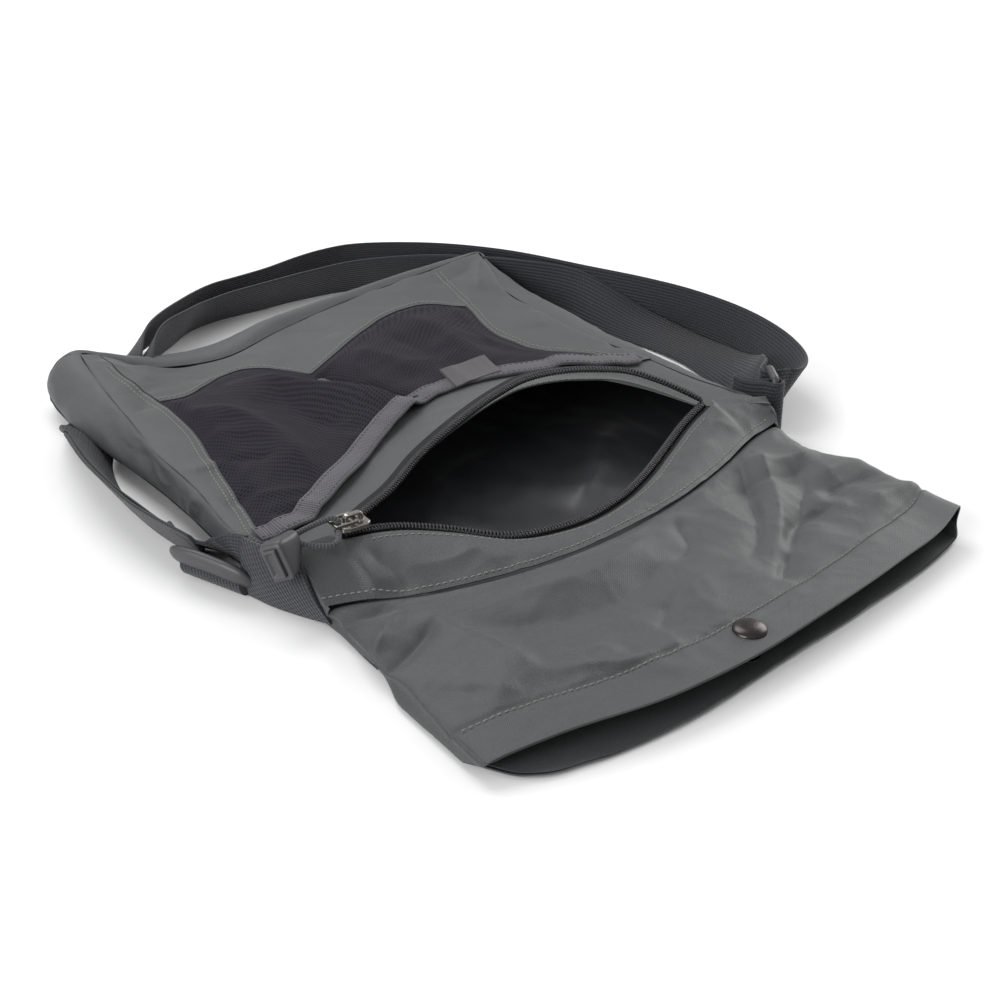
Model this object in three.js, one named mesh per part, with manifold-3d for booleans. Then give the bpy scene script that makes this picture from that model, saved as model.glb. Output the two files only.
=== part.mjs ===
import * as THREE from 'three';
import Module from 'manifold-3d';

// A small shoulder pouch lying on its back with its front up. Units are millimetres.
// X runs across the pouch, +Y towards its closed bottom end, -Y towards the open mouth, +Z up.
// The origin is the middle of the back panel's outer face.

// ---- driving dimensions -------------------------------------------------------------------
const HALF_WIDTH = 117; // middle of the gusset cloth on either side
const BODY_HALF_LENGTH = 134.5; // from the middle of the back panel to its ends
const CORNER_RADIUS = 12;
const CLOTH = 0.9; // thickness of the body cloth
const GAP = 0.35; // clearance kept between neighbouring pieces
const BACK_THICKNESS = 1.2;
const GUSSET_LOW = BACK_THICKNESS + GAP;
const GUSSET_HIGH = 23.8;
const FRONT_LEVEL = 24.6; // middle of the front cloth along the side seams
const LAYER_STEP = CLOTH + GAP; // one cloth layer on top of another

const ZIP_Y = -84; // centre line of the closed zip
const ZIP_LEFT = -93;
const ZIP_RIGHT = 91;
const ZIP_SETBACK = 9.8; // from the zip's centre line to the edge of the cloth
const TAPE_WIDTH = 6;
const COIL_WIDTH = 2.6;
const UPPER_GAPE = 38; // how far the upper lip is pulled back
const UPPER_RISE = 14; // and how far it stands up
const LOWER_GAPE = 20;
const LOWER_SAG = 9;
const RISE_REACH = 70; // the front falls back to level this far behind the upper lip

const FOLD_Y = -135; // where the neck folds over the front
const NECK_HALF_WIDTH = 115.8;
const BACK_LEVEL = 2; // middle of the neck's lower cloth
const SNAP_X = -2;
const SNAP_Y = -205;
const SNAP_RADIUS = 6.3;

const WEB_WIDTH = 24.6;
const WEB_THICKNESS = 1.4;
const WEB_MID_Z = 15;
const SEWN_X = 119.9; // webbing sewn flat on the outside of the gussets
const RUN = new THREE.Vector3(-138.5, 0, 10.5); // left run of the strap, where the adjuster slides
const RUN_LEAN = THREE.MathUtils.degToRad(65);
const RUN_START = -50;
const RUN_END = 52;
const ADJUSTER_Y = -36;
const RING_NEAR = new THREE.Vector2(127, -80);
const RING_FAR = new THREE.Vector2(134, -68);
const RING_BAR = 1.5; // half the depth of the ring's flat bars
const RING_HALF_THICKNESS = 1.05;
const RING_BAR_REACH = Math.hypot(RING_BAR, RING_HALF_THICKNESS);
const RING_LOW = 0.3;
const RING_HIGH = 29.7;

const SLIDER_X = -88;
const SLIDER_LOW = 26.7; // clear of the coils where the upper lip starts to rise
const SLIDER_TOP = 28.8;
const PIN_Z = 30.6;
const PULLER_LENGTH = 8.5;
const CORD_RADIUS = 0.9;

// ---- materials -----------------------------------------------------------------------------
function finish(color, roughness, metalness = 0) {
  return { color, roughness, metalness };
}
const NYLON = finish(0x55595b, 0.75);
const NYLON_SIDE = finish(0x6c7072, 0.75);
const MESH = finish(0x46424e, 0.85);
const WEBBING = finish(0x34343c, 0.8);
const BINDING = finish(0x504c50, 0.85);
const TAPE = finish(0x1c1c20, 0.8);
const LABEL = finish(0x625a5c, 0.8);
const WHITE_LABEL = finish(0xb8b8b4, 0.8);
const PLASTIC = finish(0x4b4b4d, 0.5);
const GUNMETAL = finish(0x55534f, 0.3, 0.9);
const DARK_METAL = finish(0x3a3838, 0.4, 0.8);

const pouch = new THREE.Group();
pouch.name = 'neck_pouch';

function addPiece(name, geometry, look) {
  const mesh = new THREE.Mesh(geometry, new THREE.MeshStandardMaterial(look));
  mesh.name = name;
  pouch.add(mesh);
  return mesh;
}

// ---- solids --------------------------------------------------------------------------------
const wasm = await Module();
wasm.setup();

function toManifold(geometry) {
  const positions = geometry.attributes.position;
  const index = new Map();
  const vertices = [];
  const triangles = [];
  const order = geometry.index ? geometry.index.array : null;
  const count = order ? order.length : positions.count;
  for (let i = 0; i < count; i++) {
    const from = order ? order[i] : i;
    const point = [positions.getX(from), positions.getY(from), positions.getZ(from)];
    const key = point.map((value) => Math.round(value * 1e5)).join(',');
    if (!index.has(key)) {
      index.set(key, vertices.length / 3);
      vertices.push(...point);
    }
    triangles.push(index.get(key));
  }
  return new wasm.Manifold(new wasm.Mesh({
    numProp: 3,
    vertProperties: new Float32Array(vertices),
    triVerts: new Uint32Array(triangles),
  }));
}

function fromManifold(solid) {
  const mesh = solid.getMesh();
  const geometry = new THREE.BufferGeometry();
  geometry.setAttribute('position', new THREE.BufferAttribute(new Float32Array(mesh.vertProperties), 3));
  geometry.setIndex(new THREE.BufferAttribute(new Uint32Array(mesh.triVerts), 1));
  return shaded(geometry);
}

function shaded(geometry) {
  const flat = geometry.index ? geometry.toNonIndexed() : geometry;
  flat.deleteAttribute('normal');
  flat.computeVertexNormals();
  return flat;
}

function combine(first, second, how) {
  return fromManifold(toManifold(first)[how](toManifold(second)));
}

// A closed skin through rings of equally many points, turned so that it faces outwards. The second
// half of each ring is split along the other diagonal, so that both faces of a sheet match.
function skin(rings) {
  const around = rings[0].length;
  const vertices = rings.flat().flatMap((point) => [point.x, point.y, point.z]);
  const faces = [];
  for (let i = 0; i < rings.length - 1; i++) {
    for (let j = 0; j < around; j++) {
      const a = i * around + j;
      const b = i * around + ((j + 1) % around);
      const c = b + around;
      const d = a + around;
      if (j < around / 2) faces.push([a, b, c], [a, c, d]);
      else faces.push([a, b, d], [b, c, d]);
    }
  }
  const end = (rings.length - 1) * around;
  for (let j = 1; j < around - 1; j++) {
    faces.push([0, j + 1, j], [end, end + j, end + j + 1]);
  }
  const at = (k) => new THREE.Vector3(vertices[3 * k], vertices[3 * k + 1], vertices[3 * k + 2]);
  const volume = faces.reduce((sum, [a, b, c]) => sum + at(a).dot(at(b).cross(at(c))), 0);
  const turned = volume < 0 ? faces.map(([a, b, c]) => [a, c, b]) : faces;
  const geometry = new THREE.BufferGeometry();
  geometry.setAttribute('position', new THREE.Float32BufferAttribute(vertices, 3));
  geometry.setIndex(turned.flat());
  return shaded(geometry);
}

// A flat strip of cloth bent along a path. widthAt gives the direction of its width at each point.
function ribbon(path, widthAt, width, thickness) {
  const rings = path.map((point, i) => {
    const before = path[Math.max(i - 1, 0)];
    const after = path[Math.min(i + 1, path.length - 1)];
    const along = after.clone().sub(before).normalize();
    const across = widthAt(i).clone().normalize();
    const out = along.clone().cross(across).normalize();
    const corner = (a, b) => point.clone()
      .addScaledVector(across, (a * width) / 2)
      .addScaledVector(out, (b * thickness) / 2);
    return [corner(-1, -1), corner(1, -1), corner(1, 1), corner(-1, 1)];
  });
  return skin(rings);
}

// A round cord or wire along a path that stays in a plane of constant Y.
function wire(path, radius, sides) {
  const rings = path.map((point, i) => {
    const before = path[Math.max(i - 1, 0)];
    const after = path[Math.min(i + 1, path.length - 1)];
    const along = after.clone().sub(before).normalize();
    const side = new THREE.Vector3(0, 1, 0);
    const out = along.clone().cross(side).normalize();
    return Array.from({ length: sides }, (_, k) => {
      const angle = (2 * Math.PI * k) / sides;
      return point.clone()
        .addScaledVector(side, radius * Math.cos(angle))
        .addScaledVector(out, radius * Math.sin(angle));
    });
  });
  return skin(rings);
}

// Cloth between two edge curves that share their X stations, sloping from one to the other.
function clothBetween(stations, nearEdge, farEdge, thickness, rows = 1) {
  const rings = stations.map((x) => {
    const near = nearEdge(x);
    const far = farEdge(x);
    const side = (lift) => Array.from({ length: rows + 1 }, (_, i) => {
      const share = i / rows;
      return new THREE.Vector3(
        x,
        THREE.MathUtils.lerp(near.y, far.y, share),
        THREE.MathUtils.lerp(near.z, far.z, share) + lift,
      );
    });
    return [...side(-thickness / 2), ...side(thickness / 2).reverse()];
  });
  return skin(rings);
}

function plate(outline, low, high) {
  const geometry = new THREE.ExtrudeGeometry(outline, {
    depth: high - low,
    bevelEnabled: false,
    curveSegments: 6,
  });
  geometry.translate(0, 0, low);
  return shaded(geometry);
}

function outlineOf(points) {
  return new THREE.Shape(points.map(([x, y]) => new THREE.Vector2(x, y)));
}

function box(low, high) {
  const size = new THREE.Vector3().subVectors(high, low);
  const geometry = new THREE.BoxGeometry(size.x, size.y, size.z);
  geometry.translate((low.x + high.x) / 2, (low.y + high.y) / 2, (low.z + high.z) / 2);
  return geometry;
}

function turnedAboutZ(profile, x, y, segments = 20) {
  const geometry = new THREE.LatheGeometry(profile.map(([r, z]) => new THREE.Vector2(r, z)), segments);
  geometry.rotateX(Math.PI / 2);
  geometry.translate(x, y, 0);
  return geometry;
}

function stationsAcross(low, high, count) {
  return Array.from({ length: count + 1 }, (_, i) => THREE.MathUtils.lerp(low, high, i / count));
}

// Straight-line interpolation through [x, y, z] points listed in rising X.
function edgeThrough(points) {
  return (x) => {
    const i = Math.max(1, points.findIndex((point) => point[0] >= x));
    const [from, to] = [points[i - 1], points[i]];
    const share = (x - from[0]) / (to[0] - from[0]);
    return {
      y: THREE.MathUtils.lerp(from[1], to[1], share),
      z: THREE.MathUtils.lerp(from[2], to[2], share),
    };
  };
}

// ---- the open zip --------------------------------------------------------------------------
const UPPER_SKEW = 1.94; // puts the upper lip's peak right of the middle
const LOWER_SKEW = 0.58; // and the lower lip's lowest point left of it

function lipShare(x, skew) {
  const along = THREE.MathUtils.clamp((x - ZIP_LEFT) / (ZIP_RIGHT - ZIP_LEFT), 0, 1);
  return Math.max(0, Math.sin(Math.PI * along ** skew));
}

function upperLip(x, setback) {
  const share = lipShare(x, UPPER_SKEW);
  return { y: ZIP_Y + setback + UPPER_GAPE * share, z: FRONT_LEVEL + UPPER_RISE * share };
}

function lowerLip(x, setback) {
  const share = lipShare(x, LOWER_SKEW);
  return { y: ZIP_Y - setback - LOWER_GAPE * share, z: FRONT_LEVEL - LOWER_SAG * share };
}

// Beyond its two ends the zip is closed off by cloth that meets on the centre line.
function clothSetback(x) {
  const beyond = Math.max(ZIP_LEFT - 1 - x, x - ZIP_RIGHT - 1, 0);
  return THREE.MathUtils.clamp(ZIP_SETBACK - 2.2 * beyond, GAP, ZIP_SETBACK);
}

const LIP_STATIONS = stationsAcross(ZIP_LEFT, ZIP_RIGHT, 24);
const WIDE_STATIONS = [
  -NECK_HALF_WIDTH, -107, -101, ZIP_LEFT - 1, ...LIP_STATIONS, ZIP_RIGHT + 1, 99, 107, NECK_HALF_WIDTH,
];

// ---- front layers --------------------------------------------------------------------------
function frontHeight(x, y) {
  const lip = upperLip(x, ZIP_SETBACK);
  const share = THREE.MathUtils.clamp(1 - (y - lip.y) / RISE_REACH, 0, 1);
  return FRONT_LEVEL + (lip.z - FRONT_LEVEL) * share ** 2;
}

// Cloth laid over the front: the part inside the outline of a sheet that follows frontHeight.
function draped(outline, layer, thickness = CLOTH) {
  const lift = layer * LAYER_STEP;
  const rows = stationsAcross(ZIP_Y - 4, BODY_HALF_LENGTH + 2, 13);
  const rings = stationsAcross(-HALF_WIDTH - 2, HALF_WIDTH + 2, 18).map((x) => {
    const side = (offset) => rows.map((y) => new THREE.Vector3(x, y, frontHeight(x, y) + lift + offset));
    return [...side(-thickness / 2), ...side(thickness / 2).reverse()];
  });
  return combine(skin(rings), plate(outline, 0, 80), 'intersect');
}

const FRONT_EDGE = NECK_HALF_WIDTH;
const FRONT_END = BODY_HALF_LENGTH - 1.2;
const LEFT_SEAM = [[-112, -62], [-104, -28], [-99, 4], [-97, 60], [-92, FRONT_END]];
const RIGHT_SEAM = [[103, -38], [96, -12], [90, 22], [90, 68], [86, FRONT_END]];
const CUSP = [-31, 48];

// The two pocket arches, left one first, from the left seam to the right seam.
function archPoints() {
  const arch = (from, to, height) => [0, 0.17, 0.33, 0.5, 0.67, 0.83, 1].map((share) => [
    THREE.MathUtils.lerp(from[0], to[0], share),
    THREE.MathUtils.lerp(from[1], to[1], share) + height * Math.sin(Math.PI * share),
  ]);
  return [...arch([-97, 56], CUSP, 18), ...arch(CUSP, [90, 66], 24).slice(1)];
}

// The pocket's upper edge, where the binding sits.
const POCKET_EDGE = [[-111.6, -60], [-71, -48], [-30, -20], [0, -6], [31, -3], [60, -11], [89, -28], [102, -37]];

function shiftAll(points, dx, dy) {
  return points.map(([x, y]) => [x + dx, y + dy]);
}

function frontPanel() {
  const lip = WIDE_STATIONS.map((x) => [x, upperLip(x, clothSetback(x)).y]);
  return draped(outlineOf([...lip, [FRONT_EDGE, FRONT_END], [-FRONT_EDGE, FRONT_END]]), 0);
}

function sideStrip(seam, side) {
  const inner = shiftAll(seam, side * GAP, 0);
  return draped(outlineOf([
    [side * FRONT_EDGE, seam[0][1]],
    ...inner,
    [side * FRONT_EDGE, FRONT_END],
  ]), 1);
}

function frontYoke() {
  const low = shiftAll(archPoints(), 0, GAP);
  low[0] = [low[0][0] + GAP, low[0][1]];
  low[low.length - 1] = [low[low.length - 1][0] - GAP, low[low.length - 1][1]];
  const rightTop = [RIGHT_SEAM[4][0] - GAP, FRONT_END];
  const leftTop = [LEFT_SEAM[4][0] + GAP, FRONT_END];
  return draped(outlineOf([...low, rightTop, leftTop]), 1);
}

function meshPocket() {
  const inside = (seam, side) => shiftAll(seam.slice(0, 3), -side * GAP, 0);
  const arches = shiftAll(archPoints(), 0, -GAP);
  arches[0] = [arches[0][0] + GAP, arches[0][1]];
  arches[arches.length - 1] = [arches[arches.length - 1][0] - GAP, arches[arches.length - 1][1]];
  return draped(outlineOf([
    ...inside(LEFT_SEAM, -1),
    ...arches,
    ...inside(RIGHT_SEAM, 1).reverse(),
    ...shiftAll(POCKET_EDGE, 0, 1).slice(1, -1).reverse(),
  ]), 1);
}

function pocketBinding() {
  const lower = shiftAll(POCKET_EDGE, 0, -5);
  const upper = shiftAll(POCKET_EDGE, 0, 5);
  return draped(outlineOf([...lower, ...upper.reverse()]), 2, 1);
}

function labelTab() {
  const corners = [[10, -12], [33, -9], [31, 6], [8, 3]];
  return draped(outlineOf(corners), 3, 1);
}

function addFront() {
  addPiece('front_panel', frontPanel(), NYLON);
  addPiece('front_strip_left', sideStrip(LEFT_SEAM, -1), NYLON);
  addPiece('front_strip_right', sideStrip(RIGHT_SEAM, 1), NYLON);
  addPiece('front_yoke', frontYoke(), NYLON);
  addPiece('mesh_pocket', meshPocket(), MESH);
  addPiece('pocket_binding', pocketBinding(), BINDING);
  addPiece('label_tab', labelTab(), LABEL);
}

// ---- back, gusset and label ------------------------------------------------------------------
function backPanel() {
  const x = HALF_WIDTH - 0.7;
  const y = BODY_HALF_LENGTH;
  const outline = outlineOf([[-x, -y], [x, -y]]);
  outline.absarc(x - CORNER_RADIUS, y - CORNER_RADIUS, CORNER_RADIUS, 0, Math.PI / 2, false);
  outline.absarc(CORNER_RADIUS - x, y - CORNER_RADIUS, CORNER_RADIUS, Math.PI / 2, Math.PI, false);
  return plate(outline, 0, BACK_THICKNESS);
}

const GUSSET_TOP_Y = -76;
const SIDE_BULGE = 1.2;
const JOIN_ANGLE = Math.PI / 4;

// Path of the gusset around one rounded corner, up to where the bottom piece takes over.
function cornerArc(side, from, to) {
  const centre = new THREE.Vector2(side * (HALF_WIDTH - CORNER_RADIUS), BODY_HALF_LENGTH - CORNER_RADIUS);
  return stationsAcross(from, to, 4).map((angle) => new THREE.Vector3(
    centre.x + side * CORNER_RADIUS * Math.cos(angle),
    centre.y + CORNER_RADIUS * Math.sin(angle),
    0,
  ));
}

function standing(path, low, high, thickness) {
  const lifted = path.map((point) => new THREE.Vector3(point.x, point.y, (low + high) / 2));
  return ribbon(lifted, () => new THREE.Vector3(0, 0, 1), high - low, thickness);
}

function gussetSide(side) {
  const straightEnd = BODY_HALF_LENGTH - CORNER_RADIUS;
  const straight = stationsAcross(0, 1, 8).map((share) => new THREE.Vector3(
    side * (HALF_WIDTH + SIDE_BULGE * Math.sin(Math.PI * Math.max(0, (share - 0.15) / 0.85))),
    THREE.MathUtils.lerp(GUSSET_TOP_Y, straightEnd, share),
    0,
  ));
  const path = [...straight, ...cornerArc(side, 0, JOIN_ANGLE - 0.02).slice(1)];
  return standing(path, GUSSET_LOW, GUSSET_HIGH, CLOTH);
}

function gussetBottom() {
  const left = cornerArc(-1, JOIN_ANGLE + 0.02, Math.PI / 2);
  const right = cornerArc(1, Math.PI / 2, JOIN_ANGLE + 0.02);
  return standing([...left, ...right], GUSSET_LOW, GUSSET_HIGH, CLOTH);
}

function addShell() {
  addPiece('back_panel', backPanel(), NYLON);
  addPiece('gusset_left', gussetSide(-1), NYLON_SIDE);
  addPiece('gusset_right', gussetSide(1), NYLON_SIDE);
  addPiece('gusset_bottom', gussetBottom(), NYLON_SIDE);
  const low = new THREE.Vector3(52, 66, BACK_THICKNESS + GAP);
  const high = new THREE.Vector3(80, 78, BACK_THICKNESS + GAP + 0.5);
  addPiece('care_label', box(low, high), WHITE_LABEL);
}

// ---- zip -----------------------------------------------------------------------------------
function zipStrip(lip, outer, width, thickness) {
  return clothBetween(LIP_STATIONS, (x) => lip(x, outer), (x) => lip(x, outer - width), thickness);
}

const FACING_SEAM = edgeThrough([
  [-120, -100, 8], [-107, -104, 9], [-78, -119, 12], [-28, -131, 15.5], [20, -119, 15], [64, -106, 15], [120, -88, 16],
]);

function addZip() {
  const coilOuter = ZIP_SETBACK - 2 * GAP - TAPE_WIDTH;
  addPiece('zip_tape_upper', zipStrip(upperLip, ZIP_SETBACK - GAP, TAPE_WIDTH, 0.7), TAPE);
  addPiece('zip_tape_lower', zipStrip(lowerLip, ZIP_SETBACK - GAP, TAPE_WIDTH, 0.7), TAPE);
  addPiece('zip_coil_upper', zipStrip(upperLip, coilOuter, COIL_WIDTH, 1.7), TAPE);
  addPiece('zip_coil_lower', zipStrip(lowerLip, coilOuter, COIL_WIDTH, 1.7), TAPE);
  const facing = clothBetween(WIDE_STATIONS, (x) => lowerLip(x, clothSetback(x)), FACING_SEAM, CLOTH);
  addPiece('zip_facing', facing, NYLON);
}

// ---- neck ----------------------------------------------------------------------------------
const NECK_STATIONS = stationsAcross(-NECK_HALF_WIDTH, NECK_HALF_WIDTH, 14);
const FRONT_LIP = edgeThrough([[-120, -212, 10], [-36, -217, 12], [40, -209, 12], [120, -192, 10.5]]);
const BACK_LIP = edgeThrough([[-120, -214, BACK_LEVEL], [-46, -230, BACK_LEVEL], [27, -225, BACK_LEVEL],
  [120, -190, BACK_LEVEL]]);

function neckRoot(x, y) {
  return { y, z: 14.5 - 3 * (x / NECK_HALF_WIDTH) ** 2 };
}

function hole(radius, x, y) {
  return turnedAboutZ([[0, -5], [radius, -5], [radius, 30], [0, 30]], x, y);
}

function addNeck() {
  const seamFar = (x) => {
    const seam = FACING_SEAM(x);
    return { y: seam.y - GAP - 0.1, z: seam.z };
  };
  const collarEnd = (x) => neckRoot(x, FOLD_Y + 0.6);
  addPiece('neck_collar', clothBetween(WIDE_STATIONS, seamFar, collarEnd, CLOTH), NYLON);

  const front = clothBetween(NECK_STATIONS, (x) => neckRoot(x, FOLD_Y - 1.2), FRONT_LIP, CLOTH, 3);
  addPiece('neck_front', combine(front, hole(2.8, SNAP_X, SNAP_Y), 'subtract'), NYLON);

  const backRoot = () => ({ y: FOLD_Y - 0.6, z: BACK_LEVEL });
  const back = clothBetween(NECK_STATIONS, backRoot, BACK_LIP, 1);
  addPiece('neck_back', combine(back, hole(1.9, SNAP_X, SNAP_Y), 'subtract'), NYLON);
}

function addSnap() {
  const root = neckRoot(SNAP_X, FOLD_Y);
  const lip = FRONT_LIP(SNAP_X);
  const cloth = THREE.MathUtils.lerp(root.z, lip.z, (SNAP_Y - root.y) / (lip.y - root.y));
  const slopeRoom = 0.3;
  const top = cloth + CLOTH / 2 + GAP + slopeRoom;
  const under = cloth - CLOTH / 2 - GAP - slopeRoom;
  const dome = [0, 0.25, 0.5, 0.75, 1].map((share) => [
    SNAP_RADIUS * Math.cos((share * Math.PI) / 2),
    top + 0.7 + 1.7 * Math.sin((share * Math.PI) / 2),
  ]);
  dome[dome.length - 1][0] = 0;
  const cap = [[0, under], [2.2, under], [2.2, top], [SNAP_RADIUS, top], ...dome];
  addPiece('snap_cap', turnedAboutZ(cap, SNAP_X, SNAP_Y), DARK_METAL);

  const socketTop = under - GAP;
  const socketLow = socketTop - 2.2;
  const socket = [[2.5, socketLow], [5.2, socketLow], [5.2, socketTop], [2.5, socketTop], [2.5, socketLow]];
  addPiece('snap_socket', turnedAboutZ(socket, SNAP_X, SNAP_Y), DARK_METAL);

  const seat = BACK_LEVEL + 0.5 + GAP;
  const stud = [[0, seat], [4.6, seat], [4.6, seat + 0.6], [1.9, seat + 0.8], [1.9, seat + 1.9], [1.4, seat + 2.3],
    [0, seat + 2.3]];
  addPiece('snap_stud', turnedAboutZ(stud, SNAP_X, SNAP_Y), DARK_METAL);
  const post = [[0, 0.2], [4.6, 0.2], [4.6, 1.1], [1.5, 1.1], [1.5, seat - GAP], [0, seat - GAP]];
  addPiece('snap_post', turnedAboutZ(post, SNAP_X, SNAP_Y), DARK_METAL);
}

// ---- slider, puller and cord -----------------------------------------------------------------
function sliderSolid() {
  const body = plate(outlineOf([[-6, -2.4], [-3, -3.8], [4.5, -4], [6, -2.8], [6, 2.8], [4.5, 4], [-3, 3.8],
    [-6, 2.4]]), SLIDER_LOW, SLIDER_TOP);
  const arch = outlineOf([[-4, 0], [4, 0], [4, 3.4], [3, 4.2], [-3, 4.2], [-4, 3.4]]);
  arch.holes.push(outlineOf([[-2.4, 0.4], [-2.4, 3.2], [2.4, 3.2], [2.4, 0.4]]));
  const bridge = new THREE.ExtrudeGeometry(arch, { depth: 2.4, bevelEnabled: false });
  bridge.rotateX(Math.PI / 2);
  bridge.translate(0, 1.2, SLIDER_TOP - 0.4);
  const solid = combine(body, bridge, 'add');
  solid.translate(SLIDER_X, ZIP_Y, 0);
  return solid;
}

function pullerSolid() {
  const half = 0.6;
  const outline = outlineOf([[-PULLER_LENGTH - half, -4.1], [half, -4.1], [half, 4.1], [-PULLER_LENGTH - half, 4.1]]);
  outline.holes.push(outlineOf([[-PULLER_LENGTH + half, -2.9], [-PULLER_LENGTH + half, 2.9], [-half, 2.9],
    [-half, -2.9]]));
  const frame = plate(outline, PIN_Z - half, PIN_Z + half);
  frame.translate(SLIDER_X, ZIP_Y, 0);
  return frame;
}

const CORD_PIVOT_X = SLIDER_X - PULLER_LENGTH;
const CORD_BEND = 0.6 * Math.SQRT2 + GAP + CORD_RADIUS;
const CORD_END_X = CORD_PIVOT_X - 10;
const CORD_END_LENGTH = 15;

function cordSolid() {
  const centre = new THREE.Vector3(CORD_PIVOT_X, ZIP_Y, PIN_Z);
  const bend = stationsAcross(-Math.PI / 2, Math.PI / 2, 8).map((angle) => new THREE.Vector3(
    centre.x + CORD_BEND * Math.cos(angle),
    centre.y,
    centre.z + CORD_BEND * Math.sin(angle),
  ));
  const strand = (side) => [3, 8, 13].map((reach) => new THREE.Vector3(
    centre.x - reach,
    centre.y,
    centre.z + side * THREE.MathUtils.lerp(CORD_BEND, 1.5, reach / 13),
  ));
  return wire([...strand(-1).reverse(), ...bend, ...strand(1)], CORD_RADIUS, 10);
}

function cordEndSolid() {
  const outer = [[0, 3.4, 2.7], [-5, 4.6, 3.1], [-13, 5.3, 3.1], [-CORD_END_LENGTH, 4.7, 2.7]];
  const rings = outer.map(([x, halfY, halfZ]) => {
    const cut = 0.9;
    return [[-halfY + cut, -halfZ], [halfY - cut, -halfZ], [halfY, -halfZ + cut], [halfY, halfZ - cut],
      [halfY - cut, halfZ], [-halfY + cut, halfZ], [-halfY, halfZ - cut], [-halfY, -halfZ + cut]]
      .map(([y, z]) => new THREE.Vector3(x, y, z));
  });
  const slot = box(new THREE.Vector3(-5, -1.6, -2.45 - 0.1), new THREE.Vector3(1, 1.6, 2.45 + 0.1));
  const pocket = box(new THREE.Vector3(-13.5, -3.6, 0.6), new THREE.Vector3(-8.5, 3.6, 6));
  const shell = combine(combine(skin(rings), slot, 'subtract'), pocket, 'subtract');
  shell.translate(CORD_END_X, ZIP_Y, PIN_Z);
  return shell;
}

function addPull() {
  addPiece('zip_slider', sliderSolid(), GUNMETAL);
  addPiece('zip_puller', pullerSolid(), GUNMETAL);
  addPiece('pull_cord', cordSolid(), WEBBING);
  addPiece('cord_end', cordEndSolid(), PLASTIC);
  const plug = box(new THREE.Vector3(-13.5 + GAP, -3.6 + GAP, 0.6 + GAP), new THREE.Vector3(-8.5 - GAP, 3.6 - GAP, 3));
  plug.translate(CORD_END_X, ZIP_Y, PIN_Z);
  addPiece('cord_end_plug', plug, PLASTIC);
}

// ---- strap -----------------------------------------------------------------------------------
function smoothPath(points, count) {
  const curve = new THREE.CatmullRomCurve3(points, false, 'centripetal');
  return curve.getSpacedPoints(count);
}

function arcPath(centre, radius, from, to, count, z) {
  return stationsAcross(from, to, count).map((angle) => new THREE.Vector3(
    centre.x + radius * Math.cos(angle),
    centre.y + radius * Math.sin(angle),
    z,
  ));
}

function at(x, y, z = WEB_MID_Z) {
  return new THREE.Vector3(x, y, z);
}

// How far the webbing leans over, from 0 standing on its edge to 1 as it lies in the left run.
function leanShare(point) {
  if (point.x > -122) return 0;
  const before = THREE.MathUtils.smoothstep(point.y, RUN_START - 22, RUN_START);
  const after = 1 - THREE.MathUtils.smoothstep(point.y, RUN_END, RUN_END + 48);
  return Math.min(before, after);
}

function webWidth(point) {
  const lean = RUN_LEAN * leanShare(point);
  return new THREE.Vector3(-Math.sin(lean), 0, Math.cos(lean));
}

const SEWN_START = -56;
const SEWN_END = -66;
const TURN_RADIUS = 3.6;
const SHOULDER_X = 30; // middle of the stretch that rests on the wearer's shoulder
const SHOULDER_Y = 172;
const SHOULDER_HALF = 20;
const RING_LOOP = RING_BAR_REACH + 2 + WEB_THICKNESS / 2;

function strapPath() {
  const sewn = [at(-SEWN_X, SEWN_START), at(-SEWN_X, SEWN_END)];
  const turn = arcPath(new THREE.Vector2(-SEWN_X - TURN_RADIUS, SEWN_END), TURN_RADIUS, 0, -Math.PI, 8, WEB_MID_Z);
  const leadIn = smoothPath([
    at(-127.1, SEWN_END), at(-131, SEWN_END + 6, 13.6), at(-137, RUN_START - 5, 11), at(RUN.x, RUN_START, RUN.z),
  ], 8);
  const run = [at(RUN.x, (RUN_START + RUN_END) / 2, RUN.z)];
  const outerLayer = smoothPath([
    at(RUN.x, RUN_END, RUN.z), at(-138, RUN_END + 12, 11), at(-134, 88, 13), at(-130, 112), at(-127, 138),
    at(-108, 157), at(-68, 173), at(0, 187), at(60, 189), at(114, 168), at(150, 122), at(172, 68), at(178, 18),
    at(174, -27), at(159, -56), at(142, -69),
  ], 72);
  const loop = arcPath(RING_FAR, RING_LOOP, -Math.PI * 0.32, -Math.PI * 1.45, 10, WEB_MID_Z);
  // The inner layer runs straight where it rests on the wearer's shoulder.
  const innerRight = smoothPath([
    at(138.5, -60), at(144, -42), at(146, 20), at(146, 80), at(134, 128), at(102, 160), at(SHOULDER_X + SHOULDER_HALF, SHOULDER_Y),
  ], 40);
  const innerLeft = smoothPath([
    at(SHOULDER_X - SHOULDER_HALF, SHOULDER_Y), at(-55, 162), at(-105, 147), at(-122, 133), at(-125, 108), at(-130, 80, 16),
    at(RUN.x + 3.2 * Math.cos(RUN_LEAN), RUN_END + 8, RUN.z + 3.2 * Math.sin(RUN_LEAN)),
  ], 36);
  return [...sewn, ...turn.slice(1, -1), ...leadIn, ...run, ...outerLayer, ...loop, ...innerRight, ...innerLeft];
}

function strapSolid() {
  const path = strapPath();
  return ribbon(path, (i) => webWidth(path[i]), WEB_WIDTH, WEB_THICKNESS);
}

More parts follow.
